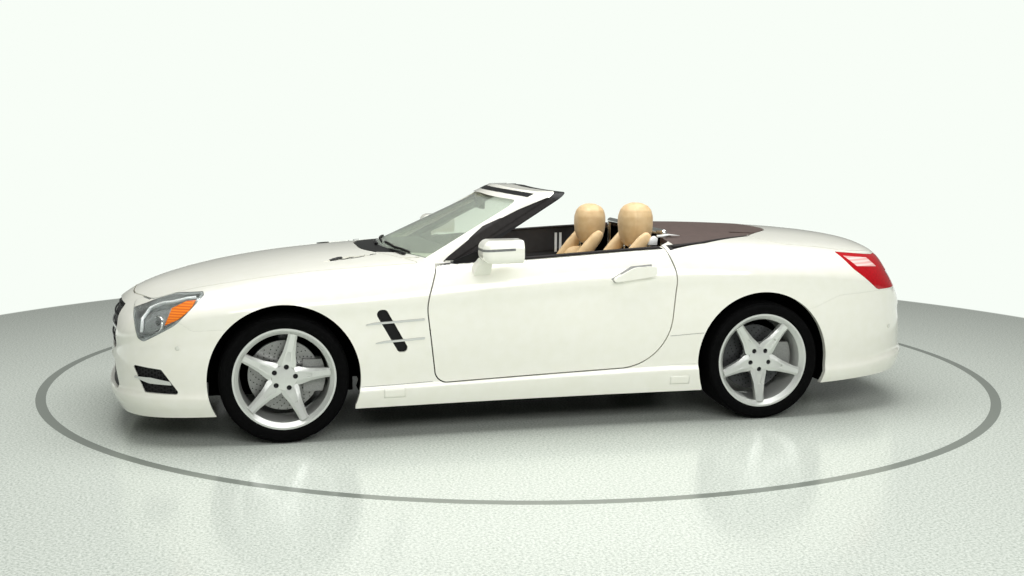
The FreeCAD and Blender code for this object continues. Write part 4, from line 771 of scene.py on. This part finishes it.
def cast_rim(rim, axle, by_degrees, wheel):
    hub_x, hub_z = HUBS[axle]
    bm = bmesh.new()
    bm.from_mesh(nodes[rim].data)
    bmesh.ops.scale(bm, vec=(1 / MM, 1 / MM, 1 / MM), verts=bm.verts)
    bmesh.ops.rotate(bm, cent=(hub_x, 0, hub_z), verts=bm.verts,
                     matrix=Matrix.Rotation(radians(by_degrees), 3, "Y"))
    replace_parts(piece(rim + "_cast", bm, wheel_silver, wheel, smooth=False), rim)


# %% [markdown]
# Bolts are turned parts, so each is a profile on its own axis. The disc's holes are flat dark circles a
# hair in front of its face. Cutting real ones would take hundreds of cuts and look the same from outside.

# %% Wheel bolts and the holes through the disc
BOLT_CIRCLE, BOLT_DEEP = 56, 40       # radius, and how far inside the rim's bead the heads sit
BOLT = [(-24, 12.6), (0, 12.6), (1, 9.5), (-3, 8.5), (-3, 4.6)]
HOLE_ROWS, HOLES_A_ROW, HOLE_RADIUS = (98, 112, 126, 140, 154, 168), 24, 3.2
HOLE_LIFT = 0.4
ROW_SHIFT = 0.34                      # each row of holes starts this share of a step further round


def bolts(wheel, axle, side, y, first_spoke):
    bm = bmesh.new()
    for k in range(SPOKES):
        at = around_hub(axle, BOLT_CIRCLE, radians(first_spoke + 72 * k), side * y)
        turned(bm, BOLT, at, (0, side, 0), 18)
    piece(wheel + "_bolts", bm, steel_black, wheel)


def drilled_holes(wheel, axle, side, y):
    bm = bmesh.new()
    for row, radius in enumerate(HOLE_ROWS):
        for k in range(HOLES_A_ROW):
            centre = Vector(around_hub(axle, radius, 2 * pi * (k + row * ROW_SHIFT) / HOLES_A_ROW, side * y))
            rim = [bm.verts.new(centre + Vector((a, 0, b))) for a, b in circle(HOLE_RADIUS)]
            bm.faces.new(rim if side > 0 else rim[::-1])
    piece(wheel + "_drilled_holes", bm, underbody, wheel)


# %% [markdown]
# A tyre's wall is moulded with raised rings that catch the light as thin circles. Each is a small closed
# section turned round the axle, with its foot sunk into the wall. The tyre stands on the ground, so its
# radius is the height of its hub.

# %% Ribs round the tyre wall
LIP = 281.0                           # radius of the rim's lip
# share of the wall's height, rise, half width
RIBS = ((0.30, 1.4, 1.6), (0.44, 1.6, 1.2), (0.80, 1.0, 1.2))
RIB_SUNK, RIB_FOOT = 1.2, 4


def wall_y(half, share):
    """How far out the tyre wall stands; it rounds in towards the tread."""
    return half * (0.995 - 0.12 * max(0.0, share - 0.5) ** 2 * 4) if share > 0.3 else half * 0.985


def tyre_ribs(wheel, axle, side, middle_y, half):
    bm = bmesh.new()
    for share, rise, wide in RIBS:
        y, radius = wall_y(half, share), LIP + share * (HUBS[axle][1] - LIP)
        top = y + rise - RIB_SUNK
        section = [(y - RIB_FOOT, radius - wide), (top, radius - wide * 0.5), (top, radius + wide * 0.5),
                   (y - RIB_FOOT, radius + wide)]
        turned(bm, section, around_hub(axle, 0, 0, side * middle_y), (0, side, 0), 96, ring=True)
    piece(wheel + "_tyre_ribs", bm, tyre_rubber, wheel)


# %% All four wheels
for axle, middle_y, face_y, stands_at, first_spoke, half, bead in AXLES:
    for side_name, side in SIDES:
        wheel = f"{side_name}_{axle}_wheel"
        cast_rim(f"{side_name}_{axle}_rim", axle, first_spoke - stands_at, wheel)
        bolts(wheel, axle, side, middle_y + bead - BOLT_DEEP, first_spoke)
        drilled_holes(wheel, axle, side, face_y + HOLE_LIFT)
        tyre_ribs(wheel, axle, side, middle_y, half)
print("wheel pieces:", piece_count("_wheel_") + piece_count("_cast"))

# %% [markdown]
# ## Nose, tail and bonnet
# Small fittings finish the outside: sensors in the bumpers, slats in the grille and in the bonnet's vents,
# a blank plate at the tail, covers over the jacking points and wipers on the cowl. The sensors are round caps
# that stand 1 mm proud, close to the body's colour.

# %% Parking sensors
SENSOR_RADIUS = 11
FRONT_SENSORS = [("left", -1925, 501), ("right", -1925, 501), ("front", -430, 420), ("front", 430, 420)]
REAR_SENSORS = [("left", 2010, 470), ("right", 2010, 470), ("rear", -500, 470), ("rear", 500, 470)]
for end, places in (("front", FRONT_SENSORS), ("rear", REAR_SENSORS)):
    bumper = surface(end + "_bumper")
    for k, (seen_from, u, v) in enumerate(places):
        cap = [(u + a, v + b) for a, b in circle(SENSOR_RADIUS, 18)]
        laid(f"{end}_sensor_{k}", cap, bumper, seen_from, bumper_grey, lift=1.2, thick=-2.0, step=6.0)
print("parking sensors:", piece_count("_sensor_"))

# %% [markdown]
# Black slats cross the grille's mesh and one broad chromed bar runs over its middle. The bonnet has four
# slanting slats on each side, and they ride on it.

# %% Grille slats, bonnet slats, tail plate and jack covers
# height, half width, half depth, finish
GRILLE_BARS = [(628, 395, 3.0, black_plastic), (596, 470, 3.0, black_plastic), (552, 530, 9.0, chrome),
               (508, 530, 3.0, black_plastic), (478, 530, 3.0, black_plastic)]
for height, half, tall, finish in GRILLE_BARS:
    path = edge_path(surface("grille"), "front", [(-half, height), (half, height)], 7.0)
    swept(f"grille_bar_{height}", path, oblong(-4, 4, -tall, tall), finish)
SLATS, SLAT_STEP, FIRST_SLAT_X = 4, 60, -1150
lid = surface("bonnet")
for side_name, side in SIDES:
    for k in range(SLATS):
        x = FIRST_SLAT_X + SLAT_STEP * k
        slat = [(x, side * (500 - 8 * k)), (x + 26, side * (498 - 8 * k)), (x + 78, side * (452 + 2 * k)),
                (x + 56, side * (452 + 2 * k))]
        laid(f"{side_name}_bonnet_slat_{k}", slat, lid, "top", black_plastic, "bonnet", lift=3.0, thick=-2.0)
laid("blank_plate", oblong(-255, 255, 490, 596), surface("rear_bumper"), "rear", plate_white, lift=5.0,
     thick=-2.0, step=20.0)
sills = surface("sills")
JACK_X, COVER_HALF = (-860, 690), 55
for side_name, side in SIDES:
    for x in JACK_X:
        cover = oblong(x - COVER_HALF, x + COVER_HALF, 215, 262)
        laid(f"{side_name}_jack_cover_{x + 1000}", cover, sills, side_name, white_paint, lift=0.5, thick=-1.0,
             step=10.0)
print("bars and slats:", piece_count("_bar_") + piece_count("_slat_"))

# %% [markdown]
# The wipers rest at the foot of the windscreen. Each is a rubber blade and a plastic arm beside it, both laid
# along a line over whatever lies below: cowl, glass or seal.

# %% Wipers
WIPERS = [("driver", [(-715, -520), (-775, -330), (-800, -120)]),
          ("passenger", [(-812, -60), (-800, 150), (-745, 400)])]
ARM_AHEAD, ARM_ASIDE = 34, 20
screen_foot = surface("cowl", "windscreen", "windscreen_frame", "screen_seal", "bonnet", "scuttle")
for name, run in WIPERS:
    blade = edge_path(screen_foot, "top", run, 7.0)
    swept(name + "_wiper_blade", blade, [(-4, -6), (4, -6), (3, 5), (-3, 5)], black_rubber)
    arm = edge_path(screen_foot, "top", [(x - ARM_AHEAD, y - ARM_ASIDE) for x, y in run[:2]], 9.0)
    swept(name + "_wiper_arm", arm, [(-8, -4), (8, -4), (6, 4), (-6, 4)], black_plastic,
          sizes=[1.2 - 0.6 * k / len(arm) for k in range(len(arm))])
print("pieces so far:", piece_count())

# %% [markdown]
# ## Cabin
# The plain dashboard gets a hood over the instruments, four round silver vents, two dials, a dark screen and
# silver strips. All but the hood are placed on the dashboard as it is seen from behind, so they follow its
# slope.

# %% Dashboard
VENTS = ((-610, 770), (-120, 790), (120, 790), (610, 770))      # y and z
VENT = [(-6, 40), (7, 40), (10, 36), (7, 31), (0, 30), (-2, 14), (6, 12), (7, 3)]
DIAL = [(-6, 52), (6, 52), (8, 48), (2, 45), (1, 2)]
HOOD_SECTION = [(-95, -14), (78, -20), (84, 8), (40, 34), (-40, 30), (-90, 6)]
DASH_STRIPS = (("left", -705, -590), ("middle", 110, 480), ("right", 480, 705))
dash = surface("dashboard")
for y, z in VENTS:
    name = f"{'left' if y < 0 else 'right'}_vent_{abs(y)}"
    turned_piece(name, VENT, on_surface(dash, "rear", y, z), (1, 0, 0.25), wheel_silver)
hood = [Vector((-430, y, 850)) for y in (-545, -535, -500, -385, -270, -235, -225)]
swept("instrument_hood", hood, HOOD_SECTION, dark_leather, sizes=[0.3, 0.75, 0.95, 1.0, 0.95, 0.75, 0.3])
for name, y in (("speed", -455), ("engine_speed", -315)):
    turned_piece(name + "_dial", DIAL, on_surface(dash, "rear", y, 800), (1, 0, 0.2), gloss_black)
laid("dash_screen", oblong(-88, 88, 690, 752), dash, "rear", gloss_black, lift=3.0, thick=-2.0)
for name, low_y, high_y in DASH_STRIPS:
    laid(name + "_dash_strip", oblong(low_y, high_y, 655, 682), dash, "rear", wheel_silver, lift=1.5)
print("vents and dials:", piece_count("_vent_") + piece_count("_dial"))

# %% [markdown]
# The console between the seats gets its lever, its turning knob, a tray and a padded lid. The inner mirror
# hangs from the windscreen's upper rail on a short stem.

# %% Console and inner mirror
LEVER = [(-2, 42), (6, 38), (14, 12), (58, 9), (62, 20), (84, 23), (96, 16), (99, 3)]
KNOB = [(-2, 34), (4, 34), (6, 24), (20, 24), (24, 21), (25, 3)]
MIRROR_SECTION = [(-12, -30), (8, -33), (12, -20), (12, 22), (4, 32), (-10, 28)]
console = surface("centre_console")
turned_piece("gear_lever", LEVER, on_surface(console, "top", -90, 0), (0.2, 0, 1), dark_leather)
turned_piece("turning_knob", KNOB, on_surface(console, "top", 40, 0), (0, 0, 1), wheel_silver)
laid("console_tray", oblong(-300, -170, -70, 70), console, "top", gloss_black, lift=1.5)
laid("armrest_lid", oblong(160, 470, -104, 104), console, "top", tan_leather, lift=14.0, thick=-13.0,
     step=14.0)
mirror_at = [(-226, y, 1150) for y in (-118, -112, -60, 60, 112, 118)]
swept("inner_mirror", mirror_at, MIRROR_SECTION, black_plastic, sizes=[0.5, 0.85, 1.0, 1.0, 0.85, 0.5])
swept("inner_mirror_stem", [(-240, 0, 1150), (-262, 0, 1178)], circle(9), black_plastic, up=(0, 1, 0))
print("console and mirror pieces ready")

# %% [markdown]
# ## Engine bay
# Under the bonnet a ribbed plastic cover lies on the engine, with an oil cap behind it and a pipe along each
# side.

# %% Engine cover
RIB_COUNT, FIRST_RIB_X, RIB_WIDE, RIB_STEP = 6, -1600, 34, 80
block = surface("engine")
laid("engine_cover", oblong(-1660, -1150, -235, 235), block, "top", black_plastic, lift=13.0, thick=-12.5,
     step=30.0)
for k in range(RIB_COUNT):
    x = FIRST_RIB_X + RIB_STEP * k
    laid(f"engine_cover_rib_{k}", oblong(x, x + RIB_WIDE, -200, 200), block, "top", steel_black, lift=18.0,
         thick=-5.0, step=30.0)
turned_piece("oil_cap", [(0, 30), (14, 30), (18, 24), (18, 3)], (-1110, -150, 739), (0, 0, 1), gloss_black,
             steps=32)
for side_name, side in SIDES:
    pipe = [(x, side * 285, 746) for x in (-1640, -1400, -1160)]
    swept(side_name + "_intake_pipe", pipe, circle(7.0, 12), caliper_grey)
print("pieces so far:", piece_count())

# %% [markdown]
# ## Seats
# Each seat has a base pad, a back and an oval headrest, all foam under tan leather. Foam swells between its
# seams, so a plain box looks wrong. Each pad starts as rings of points along its length, is remeshed to even
# squares, blown up a little by a cloth simulation with pressure, and gets its sewn channels afterwards.

# %% A closed pad from rows of place along, low and high face, and half width
def rounded(angle_part, power):
    """A sine or cosine bent towards a square corner; a power of 2 keeps the circle."""
    return abs(angle_part) ** (2 / power) * (1 if angle_part > 0 else -1)


def pad_form(rows, as_point, power, points=44):
    bm = bmesh.new()
    loops = []
    for along, low, high, half in rows:
        middle, depth = (low + high) / 2, (high - low) / 2
        turns = [2 * pi * k / points for k in range(points)]
        loops.append([bm.verts.new(Vector(as_point(along, middle + depth * rounded(sin(t), power),
                                                   half * rounded(cos(t), power))) * MM) for t in turns])
    for one, two in zip(loops, loops[1:]):
        for k in range(points):
            bm.faces.new((one[k], one[(k + 1) % points], two[(k + 1) % points], two[k]))
    bm.faces.new(loops[0])
    bm.faces.new(loops[-1])
    bmesh.ops.recalc_face_normals(bm, faces=bm.faces)
    mesh = bpy.data.meshes.new("pad")
    bm.to_mesh(mesh)
    bm.free()
    return mesh


# %% [markdown]
# The cloth solver treats the pad's skin as leather and the foam as air under pressure. Gravity is off,
# because the foam carries itself. Twenty steps are enough to round the pad; a cap on each point's travel
# keeps it inside the room that the real seat has. Nothing here is drawn at random, so each run gives the
# same pad.

# %% Remesh, swell and give back a mesh of even squares
VOXEL_MM, PRESSURE, LAST_STEP = 9.0, 3.5, 20


def with_modifiers(made):
    """The mesh that an object's modifiers give at the current frame."""
    graph = bpy.context.evaluated_depsgraph_get()
    return bpy.data.meshes.new_from_object(made.evaluated_get(graph))


def swollen(made, cap_mm):
    """Remeshes and swells a pad; no point moves by more than cap_mm."""
    remesh = made.modifiers.new("remesh", "REMESH")
    remesh.mode = "VOXEL"
    remesh.voxel_size = VOXEL_MM * MM
    made.data = with_modifiers(made)
    made.modifiers.clear()
    cloth = made.modifiers.new("cloth", "CLOTH")
    cloth.settings.quality = 4
    cloth.settings.use_pressure = True
    cloth.settings.uniform_pressure_force = PRESSURE
    cloth.settings.effector_weights.gravity = 0.0
    cloth.collision_settings.use_collision = False
    cloth.point_cache.frame_start, cloth.point_cache.frame_end = 1, LAST_STEP
    for frame_number in range(1, LAST_STEP + 1):
        bpy.context.scene.frame_set(frame_number)
    puffed = with_modifiers(made)
    made.modifiers.clear()
    bpy.context.scene.frame_set(1)
    for vert, moved in zip(made.data.vertices, puffed.vertices):
        step = moved.co - vert.co
        if step.length > cap_mm * MM:
            step *= cap_mm * MM / step.length
        vert.co += step


# %% [markdown]
# A seam is drawn as a dent that runs along a line: each point moves inwards along its normal by a smooth
# bump of its distance to that line.

# %% Dents and seams
def dented(mesh, dent):
    """Moves each point inwards by dent(x, y, z) millimetres along its normal."""
    moves = [-v.normal * dent(*(v.co / MM)) * MM for v in mesh.vertices]
    for vert, move in zip(mesh.vertices, moves):
        vert.co += move


def groove(distance, wide, deep):
    """Full depth on the line, half of it at wide millimetres to the side."""
    return deep / (1 + (distance / wide) ** 4)


def grooves(value, places):
    """Sewn channels, 5 mm wide to each side and 4 mm deep."""
    return sum(groove(value - place, 5, 4) for place in places)


def step_up(value, start, end):
    """0 before start, 1 after end and smooth between."""
    t = min(1.0, max(0.0, (value - start) / (end - start)))
    return t * t * (3 - 2 * t)


# %% [markdown]
# A finished pad takes the place of a plain CAD seat part and rides on the body.

# %% A padded leather piece
def soft_piece(name, mesh, dent, cap_mm, node):
    made = bpy.data.objects.new(name, mesh)
    bpy.context.scene.collection.objects.link(made)
    swollen(made, cap_mm)
    dented(made.data, dent)
    made.data.materials.clear()
    made.data.materials.append(tan_leather)
    for face in made.data.polygons:
        face.use_smooth = True
    smooth = made.modifiers.new("smooth", "SUBSURF")
    smooth.levels = smooth.render_levels = 1
    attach(made, "body")
    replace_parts(made, node)


# %% [markdown]
# The three pads of a seat differ in their rows of numbers and in their seams. Lengths count from the back of
# the cushion and heights from the ground, and a headrest's rows count from its own middle. The passenger's
# seat stands a little farther forward and lower. The cushion and the back have a sunk middle with five sewn
# channels and a seam on either side of it; the headrest has two seams over its top and a dip at its foot,
# where the posts go in.

# %% Base pads, backs and headrests of both seats
# place along, low face, high face, half width
BASE_ROWS = [(-541, 335, 415, 176), (-528, 316, 440, 200), (-500, 306, 453, 212), (-400, 303, 449, 217),
             (-260, 303, 439, 218), (-120, 303, 427, 218), (-30, 305, 415, 215), (-9, 318, 402, 204)]
BACK_ROWS = [(344, 20, 130, 180), (380, 12, 140, 200), (440, 2, 152, 210), (475, -32, 160, 214),
             (560, -6, 176, 217), (660, 26, 190, 217), (760, 58, 205, 212), (830, 82, 215, 200),
             (872, 102, 220, 176), (892, 128, 212, 140)]
HEAD_ROWS = [(-129, -28, 34, 40), (-118, -54, 56, 68), (-92, -78, 78, 92), (-45, -92, 92, 110),
             (5, -96, 96, 119), (50, -94, 95, 119), (88, -82, 86, 106), (112, -60, 66, 82),
             (127, -28, 34, 46)]
SEATS = [("driver", -385.0, 0.0, 0.0), ("passenger", 385.0, 39.0, 50.0)]      # name, middle y, forward, down
SEAT_X, SEAT_TOP = 392.0, 900.0
BASE_CHANNELS = (-440, -365, -290, -215, -140)
BACK_CHANNELS = (530, 600, 670, 740, 810)

for name, seat_y, forward, down in SEATS:
    x0, head_x, head_z = SEAT_X - forward, SEAT_X - forward + 218, SEAT_TOP - down + 139

    def base_dent(x, y, z):
        """Sunk by 16 mm between the bolsters, with a seam beside each and one round the pad below its top."""
        across, top = abs(y - seat_y), step_up(z + down, 380, 410)
        inner = 1 - step_up(across, 118, 140)
        sunk = 16 * inner + groove(across - 136, 5, 6) + grooves(x - x0, BASE_CHANNELS) * inner
        return top * sunk + groove(z + down - 375, 4, 3)

    def back_dent(x, y, z):
        """The same on the front face, 24 mm deep and leaning back as the seat does."""
        across, front = abs(y - seat_y), 1 - step_up(x - x0 - 0.3 * (z + down - 475), 15, 60)
        inner = 1 - step_up(across, 112, 138)
        sunk = 24 * inner + groove(across - 134, 5, 6) + grooves(z + down, BACK_CHANNELS) * inner
        return front * sunk + groove(x - x0 - 0.2 * (z + down - 475) - 88, 4, 3)

    def head_dent(x, y, z):
        """Two seams, and a dip in the front of the foot."""
        dip = groove(hypot((y - seat_y) * 0.35, z - head_z + 88), 7, 7) if x < head_x else 0.0
        return groove(x - head_x + 30, 3, 2.5) + groove(x - head_x - 48, 3, 2.5) + dip

    base = pad_form(BASE_ROWS, lambda a, h, w: (x0 + a, seat_y + w, h - down), 4.5)
    soft_piece(name + "_base_pad", base, base_dent, 8.0, "seat_cushions")
    back = pad_form(BACK_ROWS, lambda a, h, w: (x0 + h, seat_y + w, a - down), 3.6)
    soft_piece(name + "_back_pad", back, back_dent, 8.0, "seat_backs")
    head = pad_form(HEAD_ROWS, lambda a, h, w: (head_x + h, seat_y + w, head_z + a), 2.3)
    soft_piece(name + "_headrest_pad", head, head_dent, 4.0, "headrests")

# %% [markdown]
# Beside each back a long firm wing holds the sitter's shoulder. It is a separate leather sausage sewn to the
# back's edge, and it is the part of the seat that shows above the door. The base hides its rails behind a
# moulded skirt, and two chromed posts carry the headrest.

# %% Shoulder wings, skirts and posts
WING_ROWS = [(-150, -16, 18, 14), (-138, -28, 30, 23), (-100, -38, 40, 31), (0, -42, 44, 34),
             (90, -38, 38, 31), (128, -28, 29, 24), (141, -14, 16, 13)]
LEAN, RISE = 0.65, 0.76               # backward and upward parts of the wing's slant
SKIRT_CORNERS = ((-520, -190), (-520, 190), (-30, 190), (-30, -190))
POST_APART = 52
for name, seat_y, forward, down in SEATS:
    x0 = SEAT_X - forward
    for side_name, side in SIDES:
        middle = Vector((x0 + 150, seat_y + side * 178, SEAT_TOP - 5 - down))
        wing = pad_form(WING_ROWS, lambda a, h, w: (
            middle.x + a * LEAN + h * RISE, middle.y + w, middle.z + a * RISE - h * LEAN), 2.2, 28)
        soft_piece(f"{name}_{side_name}_shoulder_pad", wing,
                   lambda x, y, z: groove(abs(y - middle.y) - 12, 3, 1.5), 4.0, "seat_backs")
    skirt = [(x0 + x, seat_y + y, 250 - down / 2) for x, y in SKIRT_CORNERS]
    swept(name + "_seat_skirt", skirt, [(-9, -46), (5, -46), (9, 46 - down / 2), (-4, 46 - down / 2)],
          black_plastic, closed=True)
    for side_name, side in SIDES:
        post_y, post_z = seat_y + side * POST_APART, SEAT_TOP - down
        post = [(x0 + 170, post_y, post_z - 30), (x0 + 176, post_y, post_z + 45)]
        swept(f"{name}_{side_name}_headrest_post", post, circle(6.5), chrome, up=(0, 1, 0))
print("pieces so far:", piece_count())

# %% [markdown]
# ## Studio
# A round pale terrazzo floor with a thin dark ring lies under the car. The stone is ground and polished, so
# the eye sees 12 mm chips and a soft reflection of the wheels. Beyond its edge the ground takes the wall's
# own pale colour, so floor and wall meet in one soft line without a wall that other views would hit.

# %% Terrazzo floor with its ring
FLOOR_AT, FLOOR_RADIUS = Vector((0.2055, 0.818, 0.0)), 60.0      # metres
RING_R, RING_WIDE = 3.007, 0.058
ROOM_R, EDGE = 4.9, 0.02
CHIP_MM = 12
WALL = ink("F8FEF7")
terrazzo = material("polished_terrazzo", "C9CFC6", Roughness=0.16, IOR=1.38)
tree = terrazzo.node_tree
shader = tree.nodes["Principled BSDF"]
place = add(tree, "ShaderNodeTexCoord").outputs["Object"]
chips = add(tree, "ShaderNodeTexNoise", Vector=place, Scale=1 / (CHIP_MM * MM), Detail=4.0, Roughness=0.75)
speckle = add(tree, "ShaderNodeValToRGB", stops=((0.36, "A3ABA1"), (0.5, "C9CFC6"), (0.64, "DDE2DA")),
              Fac=chips.outputs["Fac"])
far = add(tree, "ShaderNodeVectorMath", {"operation": "LENGTH"}, Vector=place).outputs["Value"]
off_ring = add(tree, "ShaderNodeMath", {"operation": "SUBTRACT"}, _0=far, _1=RING_R)
off_ring = add(tree, "ShaderNodeMath", {"operation": "ABSOLUTE"}, _0=off_ring.outputs[0])
on_ring = add(tree, "ShaderNodeMath", {"operation": "LESS_THAN"}, _0=off_ring.outputs[0], _1=RING_WIDE / 2)
ringed = add(tree, "ShaderNodeMix", {"data_type": "RGBA"}, _0=on_ring.outputs[0], _6=speckle.outputs["Color"],
             _7=ink("7F857D"))
outside = add(tree, "ShaderNodeMapRange", Value=far, From_Min=ROOM_R - EDGE, From_Max=ROOM_R + EDGE)
tree.links.new(ringed.outputs[2], shader.inputs["Base Color"])
wall = add(tree, "ShaderNodeEmission", Color=WALL, Strength=1.0)
blend = add(tree, "ShaderNodeMixShader", _0=outside.outputs["Result"], _1=shader.outputs[0],
            _2=wall.outputs[0])
tree.links.new(blend.outputs[0], tree.nodes["Material Output"].inputs["Surface"])

# %% The floor itself
mesh = bpy.data.meshes.new("floor")
bm = bmesh.new()
bmesh.ops.create_circle(bm, cap_ends=True, segments=96, radius=FLOOR_RADIUS)
bm.to_mesh(mesh)
bm.free()
floor = bpy.data.objects.new("floor", mesh)
floor.location = FLOOR_AT
mesh.materials.append(terrazzo)
bpy.context.scene.collection.objects.link(floor)
print("floor ring radius, m:", RING_R)

# %% [markdown]
# A weak grey-green world lights the shadows. The camera, and light that has come through glass, see the
# wall's pale colour instead; that changes the background without putting more light on the car. Two large
# soft lamps, one overhead and one along the driver's side, give the paint its long even highlights.

# %% Soft lamps and the pale surroundings
world = bpy.data.worlds.new("studio")
bpy.context.scene.world = world
world.use_nodes = True
tree = world.node_tree
back = tree.nodes["Background"]
back.inputs["Color"].default_value = ink("E9EEE8")
back.inputs["Strength"].default_value = 0.26
seen = add(tree, "ShaderNodeBackground", Color=WALL, Strength=1.0)
rays = add(tree, "ShaderNodeLightPath")
which = add(tree, "ShaderNodeMath", {"operation": "MAXIMUM"}, _0=rays.outputs["Is Camera Ray"],
            _1=rays.outputs["Is Transmission Ray"])
mixed = add(tree, "ShaderNodeMixShader", _0=which.outputs[0], _1=back.outputs[0], _2=seen.outputs[0])
tree.links.new(mixed.outputs[0], tree.nodes["World Output"].inputs["Surface"])

LAMPS = [      # name, place, looks at, size x, size y, watts
    ("ceiling_lamp", (0.0, 0.0, 5.2), (0.0, 0.0, 0.0), 7.5, 4.5, 440.0),
    ("side_lamp", (0.2, -6.6, 3.8), (0.0, -0.6, 0.5), 7.0, 2.2, 250.0),
]
for name, at, looks_at, wide, deep, watts in LAMPS:
    data = bpy.data.lights.new(name, "AREA")
    data.shape = "RECTANGLE"
    data.size, data.size_y, data.energy = wide, deep, watts
    lamp = bpy.data.objects.new(name, data)
    lamp.location = at
    lamp.rotation_mode = "QUATERNION"
    lamp.rotation_quaternion = (Vector(looks_at) - Vector(at)).to_track_quat("-Z", "Y")
    bpy.context.scene.collection.objects.link(lamp)
bpy.context.scene.view_settings.view_transform = "Standard"
print("lamps:", [row[0] for row in LAMPS])
